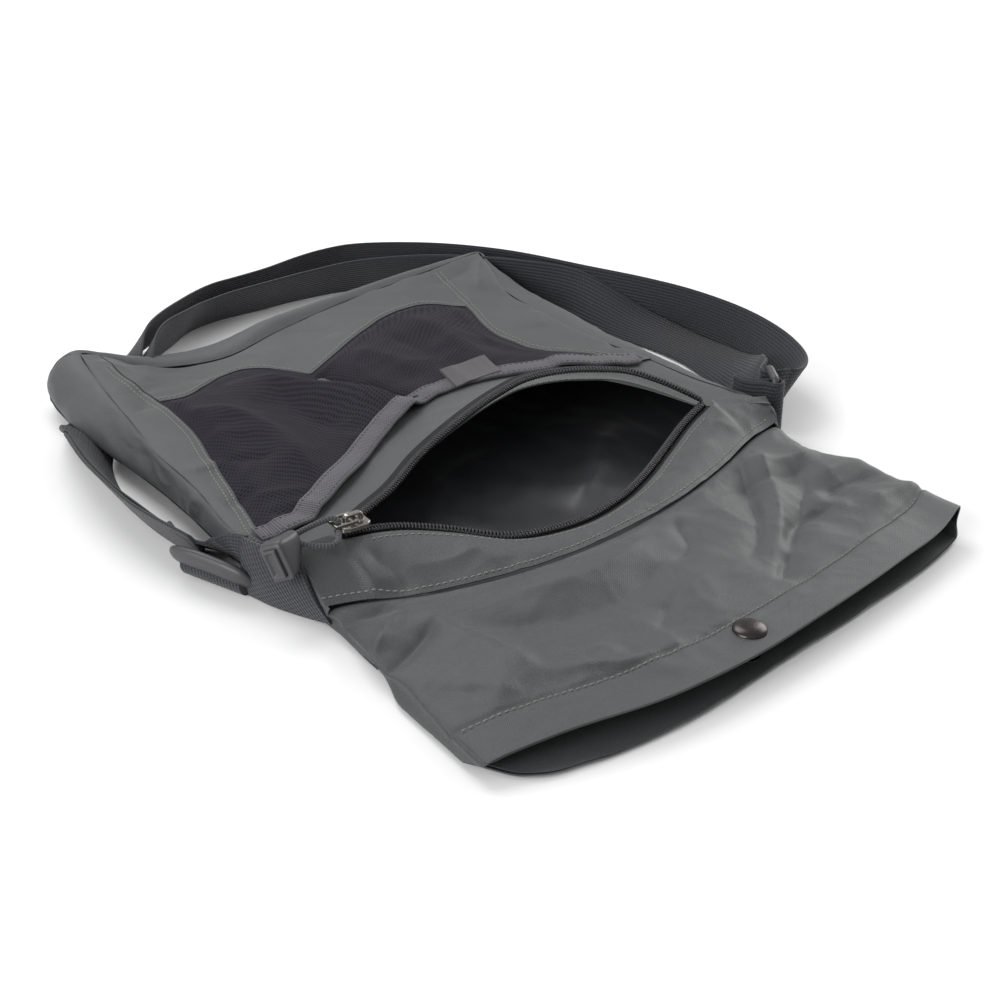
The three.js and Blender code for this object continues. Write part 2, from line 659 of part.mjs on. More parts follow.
// The tab is one short webbing folded round the ring's near bar, both ends sewn to the gusset.
function ringTabSolid() {
  const radius = RING_BAR_REACH + 2 * GAP + WEB_THICKNESS / 2;
  const start = -50;
  const inner = [at(SEWN_X, start), at(SEWN_X, start - 14), at(SEWN_X + 1.2, start - 21), at(SEWN_X + 3.6, start - 27)];
  const loop = arcPath(RING_NEAR, radius, -Math.PI, Math.PI * 0.5, 10, WEB_MID_Z);
  const outer = [at(SEWN_X + 4.8, start - 24), at(SEWN_X + 2.9, start - 19), at(SEWN_X + 1.8, start - 13),
    at(SEWN_X + 1.8, start)];
  return standing([...inner, ...loop, ...outer], WEB_MID_Z - WEB_WIDTH / 2, WEB_MID_Z + WEB_WIDTH / 2, WEB_THICKNESS);
}

function ringSolid() {
  const along = RING_FAR.clone().sub(RING_NEAR);
  const length = along.length();
  const reach = length / 2 + RING_BAR;
  const height = (RING_HIGH - RING_LOW) / 2;
  const outline = outlineOf([[-reach, -height + 2], [-reach + 2, -height], [reach - 2, -height], [reach, -height + 2],
    [reach, height - 2], [reach - 2, height], [-reach + 2, height], [-reach, height - 2]]);
  const inner = length / 2 - RING_BAR;
  const rail = WEB_WIDTH / 2 + GAP;
  outline.holes.push(outlineOf([[-inner, -rail], [-inner, rail], [inner, rail], [inner, -rail]]));
  const frame = plate(outline, -RING_HALF_THICKNESS, RING_HALF_THICKNESS);
  frame.rotateX(Math.PI / 2);
  frame.rotateZ(Math.atan2(along.y, along.x));
  frame.translate((RING_NEAR.x + RING_FAR.x) / 2, (RING_NEAR.y + RING_FAR.y) / 2, (RING_HIGH + RING_LOW) / 2);
  return frame;
}

// The adjuster is built flat, with X along its bars, Y along the strap and Z through the webbing,
// and then leaned over like the run of webbing that it slides on.
const RAIL_INNER = WEB_WIDTH / 2 + GAP;
const RAIL_OUTER = RAIL_INNER + 2.8;
const END_LOOP_Z = 3.7;

function laidOnRun(geometry) {
  geometry.rotateY(Math.PI / 2 - RUN_LEAN);
  geometry.translate(RUN.x, ADJUSTER_Y, RUN.z);
  return geometry;
}

function adjusterSolid() {
  const bar = (y, z, radius) => {
    const geometry = new THREE.CylinderGeometry(radius, radius, 2 * RAIL_INNER + 2, 10);
    geometry.rotateZ(Math.PI / 2);
    geometry.translate(0, y, z);
    return geometry;
  };
  const rail = (side) => box(
    new THREE.Vector3(side > 0 ? RAIL_INNER : -RAIL_OUTER, -11, -3.2),
    new THREE.Vector3(side > 0 ? RAIL_OUTER : -RAIL_INNER, 11, 4.9),
  );
  const pieces = [rail(-1), rail(1), bar(0, END_LOOP_Z, 1.1), bar(-9.6, -2.2, 1.1), bar(9.6, -2.2, 1.1)];
  return laidOnRun(pieces.reduce((whole, piece) => combine(whole, piece, 'add')));
}

function endLoopSolid() {
  const radius = 1.1 + GAP + 0.55;
  const reach = 15;
  const turn = stationsAcross(Math.PI / 2, Math.PI * 1.5, 8).map((angle) => new THREE.Vector3(
    0,
    radius * Math.cos(angle),
    END_LOOP_Z + radius * Math.sin(angle),
  ));
  const path = [
    new THREE.Vector3(0, reach, END_LOOP_Z + radius),
    ...turn,
    new THREE.Vector3(0, reach, END_LOOP_Z - radius),
  ];
  return laidOnRun(ribbon(path, () => new THREE.Vector3(1, 0, 0), WEB_WIDTH, 1.1));
}

function addStrap() {
  addPiece('shoulder_strap', strapSolid(), WEBBING);
  addPiece('ring_tab', ringTabSolid(), WEBBING);
  addPiece('strap_ring', ringSolid(), PLASTIC);
  addPiece('strap_adjuster', adjusterSolid(), PLASTIC);
  addPiece('strap_end_loop', endLoopSolid(), WEBBING);
}

addShell();
addFront();
addZip();
addNeck();
addSnap();
addPull();
addStrap();

export default pouch;
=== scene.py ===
"""Looks of a small shoulder pouch lying on its back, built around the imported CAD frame.

Lengths are millimetres until a mesh is made. X runs across the pouch, +Y towards its closed end,
-Y towards the open neck and +Z up. The origin is the middle of the back panel's outer face.
"""
import math

import bpy
import numpy as np
from mathutils import Matrix, Vector


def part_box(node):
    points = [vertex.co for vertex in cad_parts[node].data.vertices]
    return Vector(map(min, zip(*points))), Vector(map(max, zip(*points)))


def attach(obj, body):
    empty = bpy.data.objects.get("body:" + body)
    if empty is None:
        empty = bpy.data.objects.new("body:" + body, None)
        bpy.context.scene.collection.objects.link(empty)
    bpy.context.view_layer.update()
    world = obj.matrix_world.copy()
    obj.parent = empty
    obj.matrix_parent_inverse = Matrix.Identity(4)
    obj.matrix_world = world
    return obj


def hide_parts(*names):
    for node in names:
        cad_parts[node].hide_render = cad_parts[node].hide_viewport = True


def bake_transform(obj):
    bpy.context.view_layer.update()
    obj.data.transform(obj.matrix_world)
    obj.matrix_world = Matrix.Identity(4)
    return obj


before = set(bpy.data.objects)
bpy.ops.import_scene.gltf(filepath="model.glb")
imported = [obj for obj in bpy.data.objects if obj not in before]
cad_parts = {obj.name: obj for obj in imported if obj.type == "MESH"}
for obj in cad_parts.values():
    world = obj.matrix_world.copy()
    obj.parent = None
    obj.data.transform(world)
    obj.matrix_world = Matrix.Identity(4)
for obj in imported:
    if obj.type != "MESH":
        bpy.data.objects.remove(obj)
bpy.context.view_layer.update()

METRES = 0.001


def box_mm(node):
    """Lowest and highest corner of a CAD node in millimetres."""
    low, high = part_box(node)
    return np.array(low) / METRES, np.array(high) / METRES


# ---- driving dimensions, read from the frame -------------------------------------------------
CLOTH = 0.6
TAPE_LOW, TAPE_HIGH = box_mm("zip_tape_upper")
BACK_HIGH = box_mm("back_panel")[1]
NECK_HIGH = box_mm("neck_back")[1]
SNAP_LOW, SNAP_HIGH = box_mm("snap_cap")

ZIP_LEFT, ZIP_RIGHT = TAPE_LOW[0], TAPE_HIGH[0]
TAPE_THICKNESS = 0.7
FRONT_LEVEL = TAPE_LOW[2] + TAPE_THICKNESS / 2
ZIP_SETBACK = 9.8  # from the middle of the closed zip to the edge of the cloth
RISE_REACH = 70.0  # the front is level again this far behind the upper lip
END_Y = BACK_HIGH[1]
NECK_JOIN_Y = NECK_HIGH[1] - 1.4
FOLD_START_Y = NECK_JOIN_Y + 19
SNAP_X = (SNAP_LOW[0] + SNAP_HIGH[0]) / 2
SNAP_Y = (SNAP_LOW[1] + SNAP_HIGH[1]) / 2
HEM = 18.5  # width of the neck's folded hem


# ---- plain helpers ---------------------------------------------------------------------------
def lerp(a, b, share):
    return a + (b - a) * share


def smooth(share):
    share = np.clip(share, 0, 1)
    return share * share * (3 - 2 * share)


def through(points):
    """A smooth curve through rows whose first value rises, as a function of that first value."""
    data = np.array(points, float)
    place, values = data[:, 0], data[:, 1:]
    slope = np.gradient(values, place, axis=0)

    def curve(at):
        at = np.clip(np.asarray(at, float), place[0], place[-1])
        k = np.clip(np.searchsorted(place, at) - 1, 0, len(place) - 2)
        step = place[k + 1] - place[k]
        f = ((at - place[k]) / step)[..., None]
        step = step[..., None]
        a, b = values[k], values[k + 1]
        result = (
            a * (1 + 2 * f) * (1 - f) ** 2
            + b * f * f * (3 - 2 * f)
            + slope[k] * step * f * (1 - f) ** 2
            - slope[k + 1] * step * f * f * (1 - f)
        )
        return result if result.shape[-1] > 1 else result[..., 0]

    return curve


def path_through(points, spacing=1.5):
    """Evenly spaced points along a smooth curve through 3-D points."""
    points = np.array(points, float)
    gaps = np.linalg.norm(np.diff(points, axis=0), axis=1)
    places = np.concatenate([[0], np.cumsum(np.sqrt(gaps))])
    curve = through(np.column_stack([places, points]))
    fine = curve(np.linspace(0, places[-1], 1200))
    return evenly(fine, spacing)


def distances(points):
    """How far along a line each of its points lies."""
    gaps = np.linalg.norm(np.diff(points, axis=0), axis=1)
    return np.concatenate([[0], np.cumsum(gaps)])


def evenly(points, spacing):
    """The same line with its points at an even spacing."""
    length = distances(points)
    count = max(2, int(round(length[-1] / spacing)) + 1)
    at = np.linspace(0, length[-1], count)
    return np.column_stack([np.interp(at, length, points[:, i]) for i in range(points.shape[1])])


def noise(x, y, seed=0):
    """Smooth random values from -1 to 1, one lattice cell per unit."""
    x, y = np.broadcast_arrays(np.asarray(x, float), np.asarray(y, float))
    ix, iy = np.floor(x).astype(np.int64), np.floor(y).astype(np.int64)
    fx, fy = x - ix, y - iy
    ux, uy = fx * fx * (3 - 2 * fx), fy * fy * (3 - 2 * fy)

    def corner(i, j):
        n = (i * 374761393 + j * 668265263 + seed * 974634777) & 0xFFFFFFFF
        n = ((n ^ (n >> 13)) * 1274126177) & 0xFFFFFFFF
        return ((n ^ (n >> 16)) & 0xFFFF) / 32767.5 - 1

    low = lerp(corner(ix, iy), corner(ix + 1, iy), ux)
    high = lerp(corner(ix, iy + 1), corner(ix + 1, iy + 1), ux)
    return lerp(low, high, uy)


def crumple(x, y, cell, seed):
    """Faceted ripples like those of thin stiff nylon, about -1 to 1."""
    warp_x = x / cell + 0.8 * noise(x / cell / 1.7, y / cell / 1.7, seed + 11)
    warp_y = y / cell + 0.8 * noise(x / cell / 1.7, y / cell / 1.7, seed + 23)
    large = 1 - 2 * np.abs(noise(warp_x, warp_y, seed))
    small = 1 - 2 * np.abs(noise(2.1 * warp_x, 2.1 * warp_y, seed + 5))
    return 0.7 * large + 0.3 * small


def crease(x, y, points, height, left, right, fade=0.3):
    """A ridge (or a valley, if height is negative) along a bent line, left and right of its direction."""
    line = path_through([(px, py, 0) for px, py in points], 4.0)[:, :2]
    best = np.full(np.shape(x), 1e9)
    side = np.zeros(np.shape(x))
    along = np.zeros(np.shape(x))
    count = len(line) - 1
    for i in range(count):
        start, step = line[i], line[i + 1] - line[i]
        square = step @ step
        t = ((x - start[0]) * step[0] + (y - start[1]) * step[1]) / square
        held = np.clip(t, 0, 1)
        dx, dy = x - start[0] - held * step[0], y - start[1] - held * step[1]
        gap = np.hypot(dx, dy)
        near = gap < best
        best = np.where(near, gap, best)
        side = np.where(near, step[0] * dy - step[1] * dx, side)
        along = np.where(near, (i + held) / count, along)
    width = np.where(side > 0, left, right)
    rounding = 0.25 * width
    profile = np.exp(-(np.sqrt(best**2 + rounding**2) - rounding) / width)
    ends = smooth(along / fade) * smooth((1 - along) / fade)
    return height * profile * ends


def creases(x, y, rows):
    return sum(crease(x, y, *row) for row in rows)


def cubic(start, first, second, end, k):
    """A Bezier curve from start to end."""
    return (1 - k) ** 3 * start + 3 * k * (1 - k) ** 2 * first + 3 * k * k * (1 - k) * second + k**3 * end


# ---- meshes ----------------------------------------------------------------------------------
def make_object(name, points, faces, looks, uv=None, flat_edges=(), look_of_face=None):
    mesh = bpy.data.meshes.new(name)
    mesh.from_pydata((np.asarray(points, float) * METRES).tolist(), [], [list(map(int, f)) for f in faces])
    mesh.polygons.foreach_set("use_smooth", [True] * len(mesh.polygons))
    for look in looks:
        mesh.materials.append(look)
    if look_of_face is not None:
        mesh.polygons.foreach_set("material_index", np.asarray(look_of_face, np.int32))
    if uv is not None:
        layer = mesh.uv_layers.new(name="Cloth")
        corners = np.zeros(len(mesh.loops), np.int32)
        mesh.loops.foreach_get("vertex_index", corners)
        layer.data.foreach_set("uv", np.asarray(uv, np.float32)[corners].ravel())
    if len(flat_edges):
        sharp = mesh.attributes.new("sharp_edge", "BOOLEAN", "EDGE")
        ends = np.zeros(2 * len(mesh.edges), np.int32)
        mesh.edges.foreach_get("vertices", ends)
        rim = np.zeros(len(points), bool)
        rim[list(flat_edges)] = True
        ends = ends.reshape(-1, 2)
        sharp.data.foreach_set("value", rim[ends[:, 0]] & rim[ends[:, 1]])
    mesh.update()
    obj = bpy.data.objects.new(name, mesh)
    bpy.context.scene.collection.objects.link(obj)
    return obj


def grid_faces(rows, cols, closed=False):
    last = cols if closed else cols - 1
    faces = []
    for i in range(rows - 1):
        for j in range(last):
            k = (j + 1) % cols
            faces.append((i * cols + j, i * cols + k, (i + 1) * cols + k, (i + 1) * cols + j))
    return faces


def lengths_along(grid, axis):
    gaps = np.linalg.norm(np.diff(grid, axis=axis), axis=2)
    total = np.cumsum(gaps, axis=axis)
    start = np.zeros_like(np.take(total, [0], axis=axis))
    return np.concatenate([start, total], axis=axis)


def sheet(name, grid, looks, thickness=CLOTH, uv=None, flip=False):
    """A cloth sheet through a rows x columns grid of points; its other face is drawn with the second look."""
    rows, cols = grid.shape[:2]
    if uv is None:
        uv = np.stack([grid[..., 0], grid[..., 1]], axis=2)
    faces = grid_faces(rows, cols)
    if flip:
        faces = [f[::-1] for f in faces]
    index = np.arange(rows * cols).reshape(rows, cols)
    rim = np.concatenate([index[0], index[-1], index[:, 0], index[:, -1]])
    obj = make_object(name, grid.reshape(-1, 3), faces, looks, uv.reshape(-1, 2), rim)
    if thickness:
        thicken(obj, thickness, len(looks) > 1)
    return obj


def thicken(obj, thickness, two_looks):
    solid = obj.modifiers.new("thickness", "SOLIDIFY")
    solid.thickness = thickness * METRES
    solid.offset = -1
    solid.material_offset = 1 if two_looks else 0
    return obj


def frames_along(path, side_hint):
    """Directions along, across and out at each point of a path; side_hint is roughly across."""
    along = np.gradient(path, axis=0)
    along /= np.linalg.norm(along, axis=1)[:, None]
    across = np.broadcast_to(np.asarray(side_hint, float), path.shape).copy()
    across -= along * (along * across).sum(1)[:, None]
    across /= np.linalg.norm(across, axis=1)[:, None]
    return along, across, np.cross(along, across)


def swept(name, path, section, side_hint, looks, closed=False, caps=True, scale=None):
    """A solid with the given (across, out) outline swept along a path."""
    if closed:
        ring = np.vstack([path[-1], path, path[0]])
        along, across, out = (d[1:-1] for d in frames_along(ring, hint_for(side_hint, True)))
    else:
        along, across, out = frames_along(path, side_hint)
    section = np.asarray(section, float)
    scale = np.ones(len(path)) if scale is None else scale
    grid = (
        path[:, None]
        + across[:, None] * (section[None, :, :1] * scale[:, None, None])
        + out[:, None] * (section[None, :, 1:] * scale[:, None, None])
    )
    rows, cols = grid.shape[:2]
    around, run = distances(section), distances(path)
    uv = np.stack(np.broadcast_arrays(around[None], run[:, None]), axis=2)
    faces = grid_faces(rows, cols, True)
    if closed:
        end = (rows - 1) * cols
        faces += [(end + j, end + (j + 1) % cols, (j + 1) % cols, j) for j in range(cols)]
    elif caps:
        faces.append(tuple(range(cols))[::-1])
        faces.append(tuple((rows - 1) * cols + j for j in range(cols)))
    faces = [f[::-1] for f in faces]
    return make_object(name, grid.reshape(-1, 3), faces, looks, uv.reshape(-1, 2))


def hint_for(side_hint, closed):
    hint = np.asarray(side_hint, float)
    if hint.ndim == 1 or not closed:
        return hint
    return np.vstack([hint[-1], hint, hint[0]])


def round_section(radius, sides=8, flat=1.0):
    angle = np.linspace(0, 2 * math.pi, sides, endpoint=False)
    return np.column_stack([radius * np.cos(angle), radius * flat * np.sin(angle)])


def soft_box(half_width, half_height, corner=0.5, steps=3):
    """A rectangle outline with round corners."""
    points = []
    for k, (sx, sy) in enumerate([(1, 1), (-1, 1), (-1, -1), (1, -1)]):
        for step in range(steps + 1):
            angle = (k + step / steps) * math.pi / 2
            points.append((
                sx * (half_width - corner) + corner * math.cos(angle),
                sy * (half_height - corner) + corner * math.sin(angle),
            ))
    return np.array(points)


def lathe(name, profile, x, y, looks, sides=48):
    """A solid turned about a vertical axis; the profile runs from axis to axis, or closes on itself."""
    points, faces, count = [], [], len(profile)
    angle = np.linspace(0, 2 * math.pi, sides, endpoint=False)
    for radius, z in profile:
        points += [(x + radius * math.cos(a), y + radius * math.sin(a), z) for a in angle]
    for i in range(count - 1):
        for j in range(sides):
            k = (j + 1) % sides
            faces.append((i * sides + j, i * sides + k, (i + 1) * sides + k, (i + 1) * sides + j))
    uv = [(p[0], p[1]) for p in points]
    obj = make_object(name, points, faces, looks, uv)
    weld(obj)
    return obj


def weld(obj, distance=0.00001):
    join = obj.modifiers.new("weld", "WELD")
    join.merge_threshold = distance


def soften(obj, width, segments=2, angle=25):
    bevel = obj.modifiers.new("soft_edges", "BEVEL")
    bevel.width = width * METRES
    bevel.segments = segments
    bevel.limit_method = "ANGLE"
    bevel.angle_limit = math.radians(angle)
    return obj


def stitch_row(name, path, normals, body, pitch=2.6, length=1.9, radius=0.26, look=None):
    """Separate stitches lying on a seam line, each a short rounded thread that dips at both ends."""
    run = distances(path)
    starts = np.arange(0.5, run[-1] - length, pitch)
    points, faces = [], []
    sides, rings = 5, 5
    for start in starts:
        at = start + np.linspace(0, length, rings)
        centre = np.column_stack([np.interp(at, run, path[:, i]) for i in range(3)])
        up = np.column_stack([np.interp(at, run, normals[:, i]) for i in range(3)])
        up /= np.linalg.norm(up, axis=1)[:, None]
        share = np.linspace(-1, 1, rings)
        centre = centre + up * (0.18 - 0.22 * share**2)[:, None]
        along = np.gradient(centre, axis=0)
        side = np.cross(along, up)
        side /= np.linalg.norm(side, axis=1)[:, None]
        base = len(points)
        for k in range(rings):
            fat = radius * (1 - 0.65 * abs(share[k]) ** 3)
            for j in range(sides):
                a = 2 * math.pi * j / sides
                points.append(centre[k] + fat * (math.cos(a) * side[k] + 0.8 * math.sin(a) * up[k]))
        for k in range(rings - 1):
            for j in range(sides):
                m = (j + 1) % sides
                faces.append((base + k * sides + j, base + k * sides + m,
                              base + (k + 1) * sides + m, base + (k + 1) * sides + j))
        faces.append(tuple(base + j for j in range(sides))[::-1])
        faces.append(tuple(base + (rings - 1) * sides + j for j in range(sides)))
    obj = make_object(name, points, faces, [look or LOOKS["thread"]])
    return hold(obj, body)


def hold(obj, body, *cad_nodes, slot=None):
    """Puts a piece on its body and hides the given CAD nodes; for a pair of bodies, given as (a, b, start,
    end) in millimetres, it only bakes the piece's transform in place.
    """
    if isinstance(body, str):
        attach(obj, body)
    else:
        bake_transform(obj)
    if cad_nodes:
        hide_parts(*cad_nodes)
    return obj


NECK_FOLD = ("pouch_body", "neck_flap", (0, FOLD_START_Y, 0), (0, NECK_JOIN_Y, 0))
MOUTH = ("neck_flap", "neck_mouth", (0, 0, 3.2), (0, 0, 8.5))


# ---- materials -------------------------------------------------------------------------------
class Graph:
    """A material's node tree with short ways to add what the looks below need."""

    def __init__(self, name, colour, roughness, metallic=0.0):
        self.material = bpy.data.materials.new(name)
        self.material.use_nodes = True
        self.tree = self.material.node_tree
        self.shader = self.tree.nodes["Principled BSDF"]
        self.shader.inputs["Base Color"].default_value = (*colour, 1)
        self.shader.inputs["Roughness"].default_value = roughness
        self.shader.inputs["Metallic"].default_value = metallic
        self.colour = colour
        self.material.diffuse_color = (*colour, 1)

    def add(self, kind, settings=None, **inputs):
        node = self.tree.nodes.new("ShaderNode" + kind)
        for key, value in (settings or {}).items():
            setattr(node, key, value)
        for key, value in inputs.items():
            socket = node.inputs[int(key[1:])] if key[0] == "_" else node.inputs[key]
            if isinstance(value, bpy.types.NodeSocket):
                self.tree.links.new(value, socket)
            else:
                socket.default_value = value
        return node

    def math(self, operation, a, b=0.0, c=0.0):
        return self.add("Math", {"operation": operation}, _0=a, _1=b, _2=c).outputs[0]

    def cloth_xy(self):
        uv = self.add("UVMap", {"uv_map": "Cloth"}).outputs[0]
        split = self.add("SeparateXYZ", _0=uv)
        return uv, split.outputs[0], split.outputs[1]

    def object_point(self):
        return self.add("TexCoord").outputs["Object"]

    def wave(self, place, pitch, phase=0.0):
        """0 to 1 and back once every pitch."""
        turned = self.math("MULTIPLY_ADD", place, 2 * math.pi / pitch, phase)
        return self.math("MULTIPLY_ADD", self.math("SINE", turned), 0.5, 0.5)

    def speckle(self, point, scale, detail=2.0):
        return self.add("TexNoise", Vector=point, Scale=scale, Detail=detail).outputs["Fac"]

    def shade(self, amount, dark, light):
        """Base colour between two tints of the look's colour."""
        low = tuple(c * dark for c in self.colour) + (1,)
        high = tuple(c * light for c in self.colour) + (1,)
        mix = self.add("Mix", {"data_type": "RGBA"}, _0=amount, _6=low, _7=high)
        self.tree.links.new(mix.outputs[2], self.shader.inputs["Base Color"])
        return mix

    def rough(self, amount, low, high):
        value = self.math("MULTIPLY_ADD", amount, high - low, low)
        self.tree.links.new(value, self.shader.inputs["Roughness"])

    def bump(self, height, distance, strength=1.0):
        node = self.add("Bump", Height=height, Distance=distance * METRES, Strength=strength)
        self.tree.links.new(node.outputs[0], self.shader.inputs["Normal"])

    def gloss(self, level):
        self.shader.inputs["Specular IOR Level"].default_value = level

    def sheen(self, weight, roughness=0.4):
        self.shader.inputs["Sheen Weight"].default_value = weight
        self.shader.inputs["Sheen Roughness"].default_value = roughness


def srgb(r, g, b):
    def linear(c):
        c /= 255
        return c / 12.92 if c <= 0.04045 else ((c + 0.055) / 1.055) ** 2.4
    return linear(r), linear(g), linear(b)


def plain_weave(graph, x, y, pitch):
    """Height of over-and-under threads."""
    warp = graph.wave(x, pitch)
    weft = graph.wave(y, pitch, math.pi / 2)
    checks = graph.math("MULTIPLY", warp, weft)
    other = graph.math("MULTIPLY", graph.math("SUBTRACT", 1.0, warp), graph.math("SUBTRACT", 1.0, weft))
    return graph.math("ADD", checks, other)


def nylon_look(name, colour, roughness=0.5):
    g = Graph(name, colour, roughness)
    uv, x, y = g.cloth_xy()
    weave = plain_weave(g, x, y, 0.9)
    slub = g.speckle(g.add("VectorMath", {"operation": "MULTIPLY"}, _0=uv, _1=(1.6, 0.45, 1)).outputs[0], 1.0)
    speck = g.speckle(uv, 1.1, 1.0)
    cloud = g.speckle(uv, 0.05, 4.0)
    grain = g.math("ADD", g.math("MULTIPLY", slub, 0.4), g.math("MULTIPLY", speck, 0.35))
    g.shade(g.math("ADD", grain, g.math("MULTIPLY", cloud, 0.25)), 0.45, 1.55)
    g.rough(slub, roughness - 0.1, roughness + 0.12)
    g.bump(g.math("ADD", g.math("MULTIPLY", weave, 0.6), g.math("MULTIPLY", grain, 1.6)), 0.14, 0.9)
    g.sheen(0.12, 0.35)
    return g.material


def coated_look():
    g = Graph("coated_inside", srgb(35, 36, 40), 0.32)
    uv, x, y = g.cloth_xy()
    weave = plain_weave(g, x, y, 0.9)
    cloud = g.speckle(uv, 0.06, 3.0)
    g.shade(cloud, 0.6, 1.4)
    g.rough(cloud, 0.24, 0.42)
    g.sheen(0.2, 0.3)
    g.bump(g.math("ADD", g.math("MULTIPLY", weave, 0.4), cloud), 0.08, 0.8)
    return g.material


MESH_SLOT, MESH_ROW = 2.3, 1.6


def mesh_look():
    """Knitted mesh: rows of small slots between raised threads, every second row shifted by half a slot."""
    g = Graph("pocket_mesh", srgb(31, 28, 37), 0.8)
    uv, x, y = g.cloth_xy()
    row = g.math("DIVIDE", y, MESH_ROW)
    shift = g.math("MULTIPLY", g.math("MODULO", g.math("FLOOR", row), 2.0), MESH_SLOT / 2)
    across = g.math("ADD", x, shift)
    hole = g.math("MULTIPLY", g.wave(across, MESH_SLOT), g.wave(y, MESH_ROW, -math.pi / 2))
    edge = g.add("MapRange", {"interpolation_type": "SMOOTHSTEP"}, _0=hole, _1=0.28, _2=0.6, _3=1.0, _4=0.0)
    thread = edge.outputs[0]
    fuzz = g.speckle(uv, 1.2, 2.0)
    # The slots are painted near black as shade seen through the mesh. The fuzz gives the threads a random
    # tone.
    g.shade(g.math("MULTIPLY", thread, g.math("MULTIPLY_ADD", fuzz, 0.6, 0.6)), 0.12, 1.35)
    g.bump(thread, 0.4, 0.9)
    g.gloss(0.15)
    g.sheen(0.03, 0.5)
    return g.material


def ribbed_look(name, colour, pitch, depth=0.25, crossing=1.1, rib_along=True, sheen=0.15):
    """Woven tape with ribs across its length, each broken into small stitches."""
    g = Graph(name, colour, 0.7)
    uv, x, y = g.cloth_xy()
    run, side = (y, x) if rib_along else (x, y)
    odd_rib = g.math("MODULO", g.math("FLOOR", g.math("DIVIDE", run, pitch)), 2.0)
    half = g.math("MULTIPLY", odd_rib, crossing / 2)
    rib = g.wave(run, pitch, -math.pi / 2)
    knot = g.wave(g.math("ADD", side, half), crossing)
    height = g.math("ADD", g.math("MULTIPLY", rib, 0.7), g.math("MULTIPLY", knot, 0.3))
    fuzz = g.speckle(uv, 0.9, 3.0)
    # Colour follows the rib height: the grooves are painted darker as shade and the rib tops lighter. The
    # fuzz adds a random yarn tone.
    g.shade(g.math("MULTIPLY", height, g.math("MULTIPLY_ADD", fuzz, 0.8, 0.6)), 0.4, 1.7)
    g.bump(height, depth, 0.9)
    g.gloss(0.3)
    g.sheen(sheen, 0.5)
    return g.material


def plastic_look():
    g = Graph("moulded_plastic", srgb(58, 58, 61), 0.38)
    point = g.object_point()
    grain = g.speckle(point, 2400, 2.0)
    cloud = g.speckle(point, 60, 3.0)
    g.shade(cloud, 0.85, 1.15)
    g.rough(cloud, 0.36, 0.5)
    g.bump(grain, 0.02, 0.5)
    return g.material


def metal_look(name, colour, roughness):
    g = Graph(name, colour, roughness, 1.0)
    point = g.object_point()
    cloud = g.speckle(point, 300, 4.0)
    g.shade(cloud, 0.75, 1.3)
    g.rough(g.speckle(point, 900, 3.0), roughness - 0.06, roughness + 0.12)
    g.bump(cloud, 0.01, 0.4)
    return g.material


def thread_look(name, colour):
    g = Graph(name, colour, 0.6)
    point = g.object_point()
    twist = g.speckle(point, 1500, 1.0)
    g.shade(twist, 0.75, 1.2)
    g.bump(twist, 0.05, 0.6)
    return g.material


def coil_look():
    g = Graph("zip_coil", srgb(30, 30, 33), 0.38)
    point = g.object_point()
    cloud = g.speckle(point, 700, 2.0)
    g.shade(cloud, 0.7, 1.3)
    g.rough(cloud, 0.3, 0.46)
    g.bump(cloud, 0.01, 0.5)
    return g.material


def label_look(name, colour):
    g = Graph(name, colour, 0.66)
    uv, x, y = g.cloth_xy()
    satin = g.wave(g.math("ADD", x, y), 0.5)
    fuzz = g.speckle(uv, 0.8, 3.0)
    g.shade(fuzz, 0.85, 1.15)
    g.bump(g.math("ADD", satin, fuzz), 0.05, 0.7)
    g.sheen(0.2, 0.5)
    return g.material


LOOKS = {
    "nylon": nylon_look("body_nylon", srgb(58, 60, 61)),
    # The gusset's nylon is the body's nylon painted a little lighter: painted light for the light that falls
    # on the pouch's sides.
    "side_nylon_painted_light": nylon_look("gusset_nylon_painted_light", srgb(64, 66, 68)),
    "coated": coated_look(),
    "mesh": mesh_look(),
    "binding": ribbed_look("binding_tape", srgb(72, 70, 75), 1.1, 0.22, 1.1),
    "webbing": ribbed_look("strap_webbing", srgb(38, 39, 44), 1.7, 0.5, 1.5, rib_along=False),
    "webbing_across": ribbed_look("strap_webbing_wrap", srgb(38, 39, 44), 1.5, 0.5, 1.7),
    "tape": ribbed_look("zip_tape", srgb(23, 23, 26), 1.0, 0.15, 0.9, sheen=0.0),
    "cord": ribbed_look("cord_braid", srgb(62, 62, 65), 1.2, 0.25, 0.9),
    "coil": coil_look(),
    "plastic": plastic_look(),
    "slider": metal_look("gunmetal", srgb(150, 146, 140), 0.2),
    "snap": metal_look("dark_snap_metal", srgb(66, 62, 61), 0.26),
    "thread": thread_look("seam_thread", srgb(122, 124, 119)),
    "dark_thread": thread_look("zip_thread", srgb(66, 66, 72)),
    "label": label_look("label_tape", srgb(52, 47, 51)),
    "care": label_look("care_label_satin", srgb(96, 96, 94)),
}


# ---- the pouch's edges -----------------------------------------------------------------------
# The zip's two coils when the mouth gapes: rows of (x, y, z).
COIL_SETBACK = 2.2
UPPER_COIL = through([
    (-93, -84, 24.6), (-82.5, -77.5, 25.6), (-62, -68.5, 27.8), (-43.5, -57.5, 30.5), (-17.4, -48, 35.4),
    (10.5, -39, 38.0), (22, -36.5, 38.6), (36, -37, 38.6), (54.5, -43, 37.6), (71.3, -51.5, 34.6),
    (83, -64, 29.6), (91, -75, 24.8),
])
LOWER_COIL = through([
    (-93, -84, 24.0), (-82, -84.8, 23.2), (-71, -86.5, 21.6), (-53, -96, 19.0), (-38, -107, 16.6),
    (-12.6, -113.5, 15.5), (18.6, -108.5, 15.5), (40, -99, 16.3), (57, -89.5, 17.6), (78, -79, 21.0),
    (91, -75, 24.0),
])


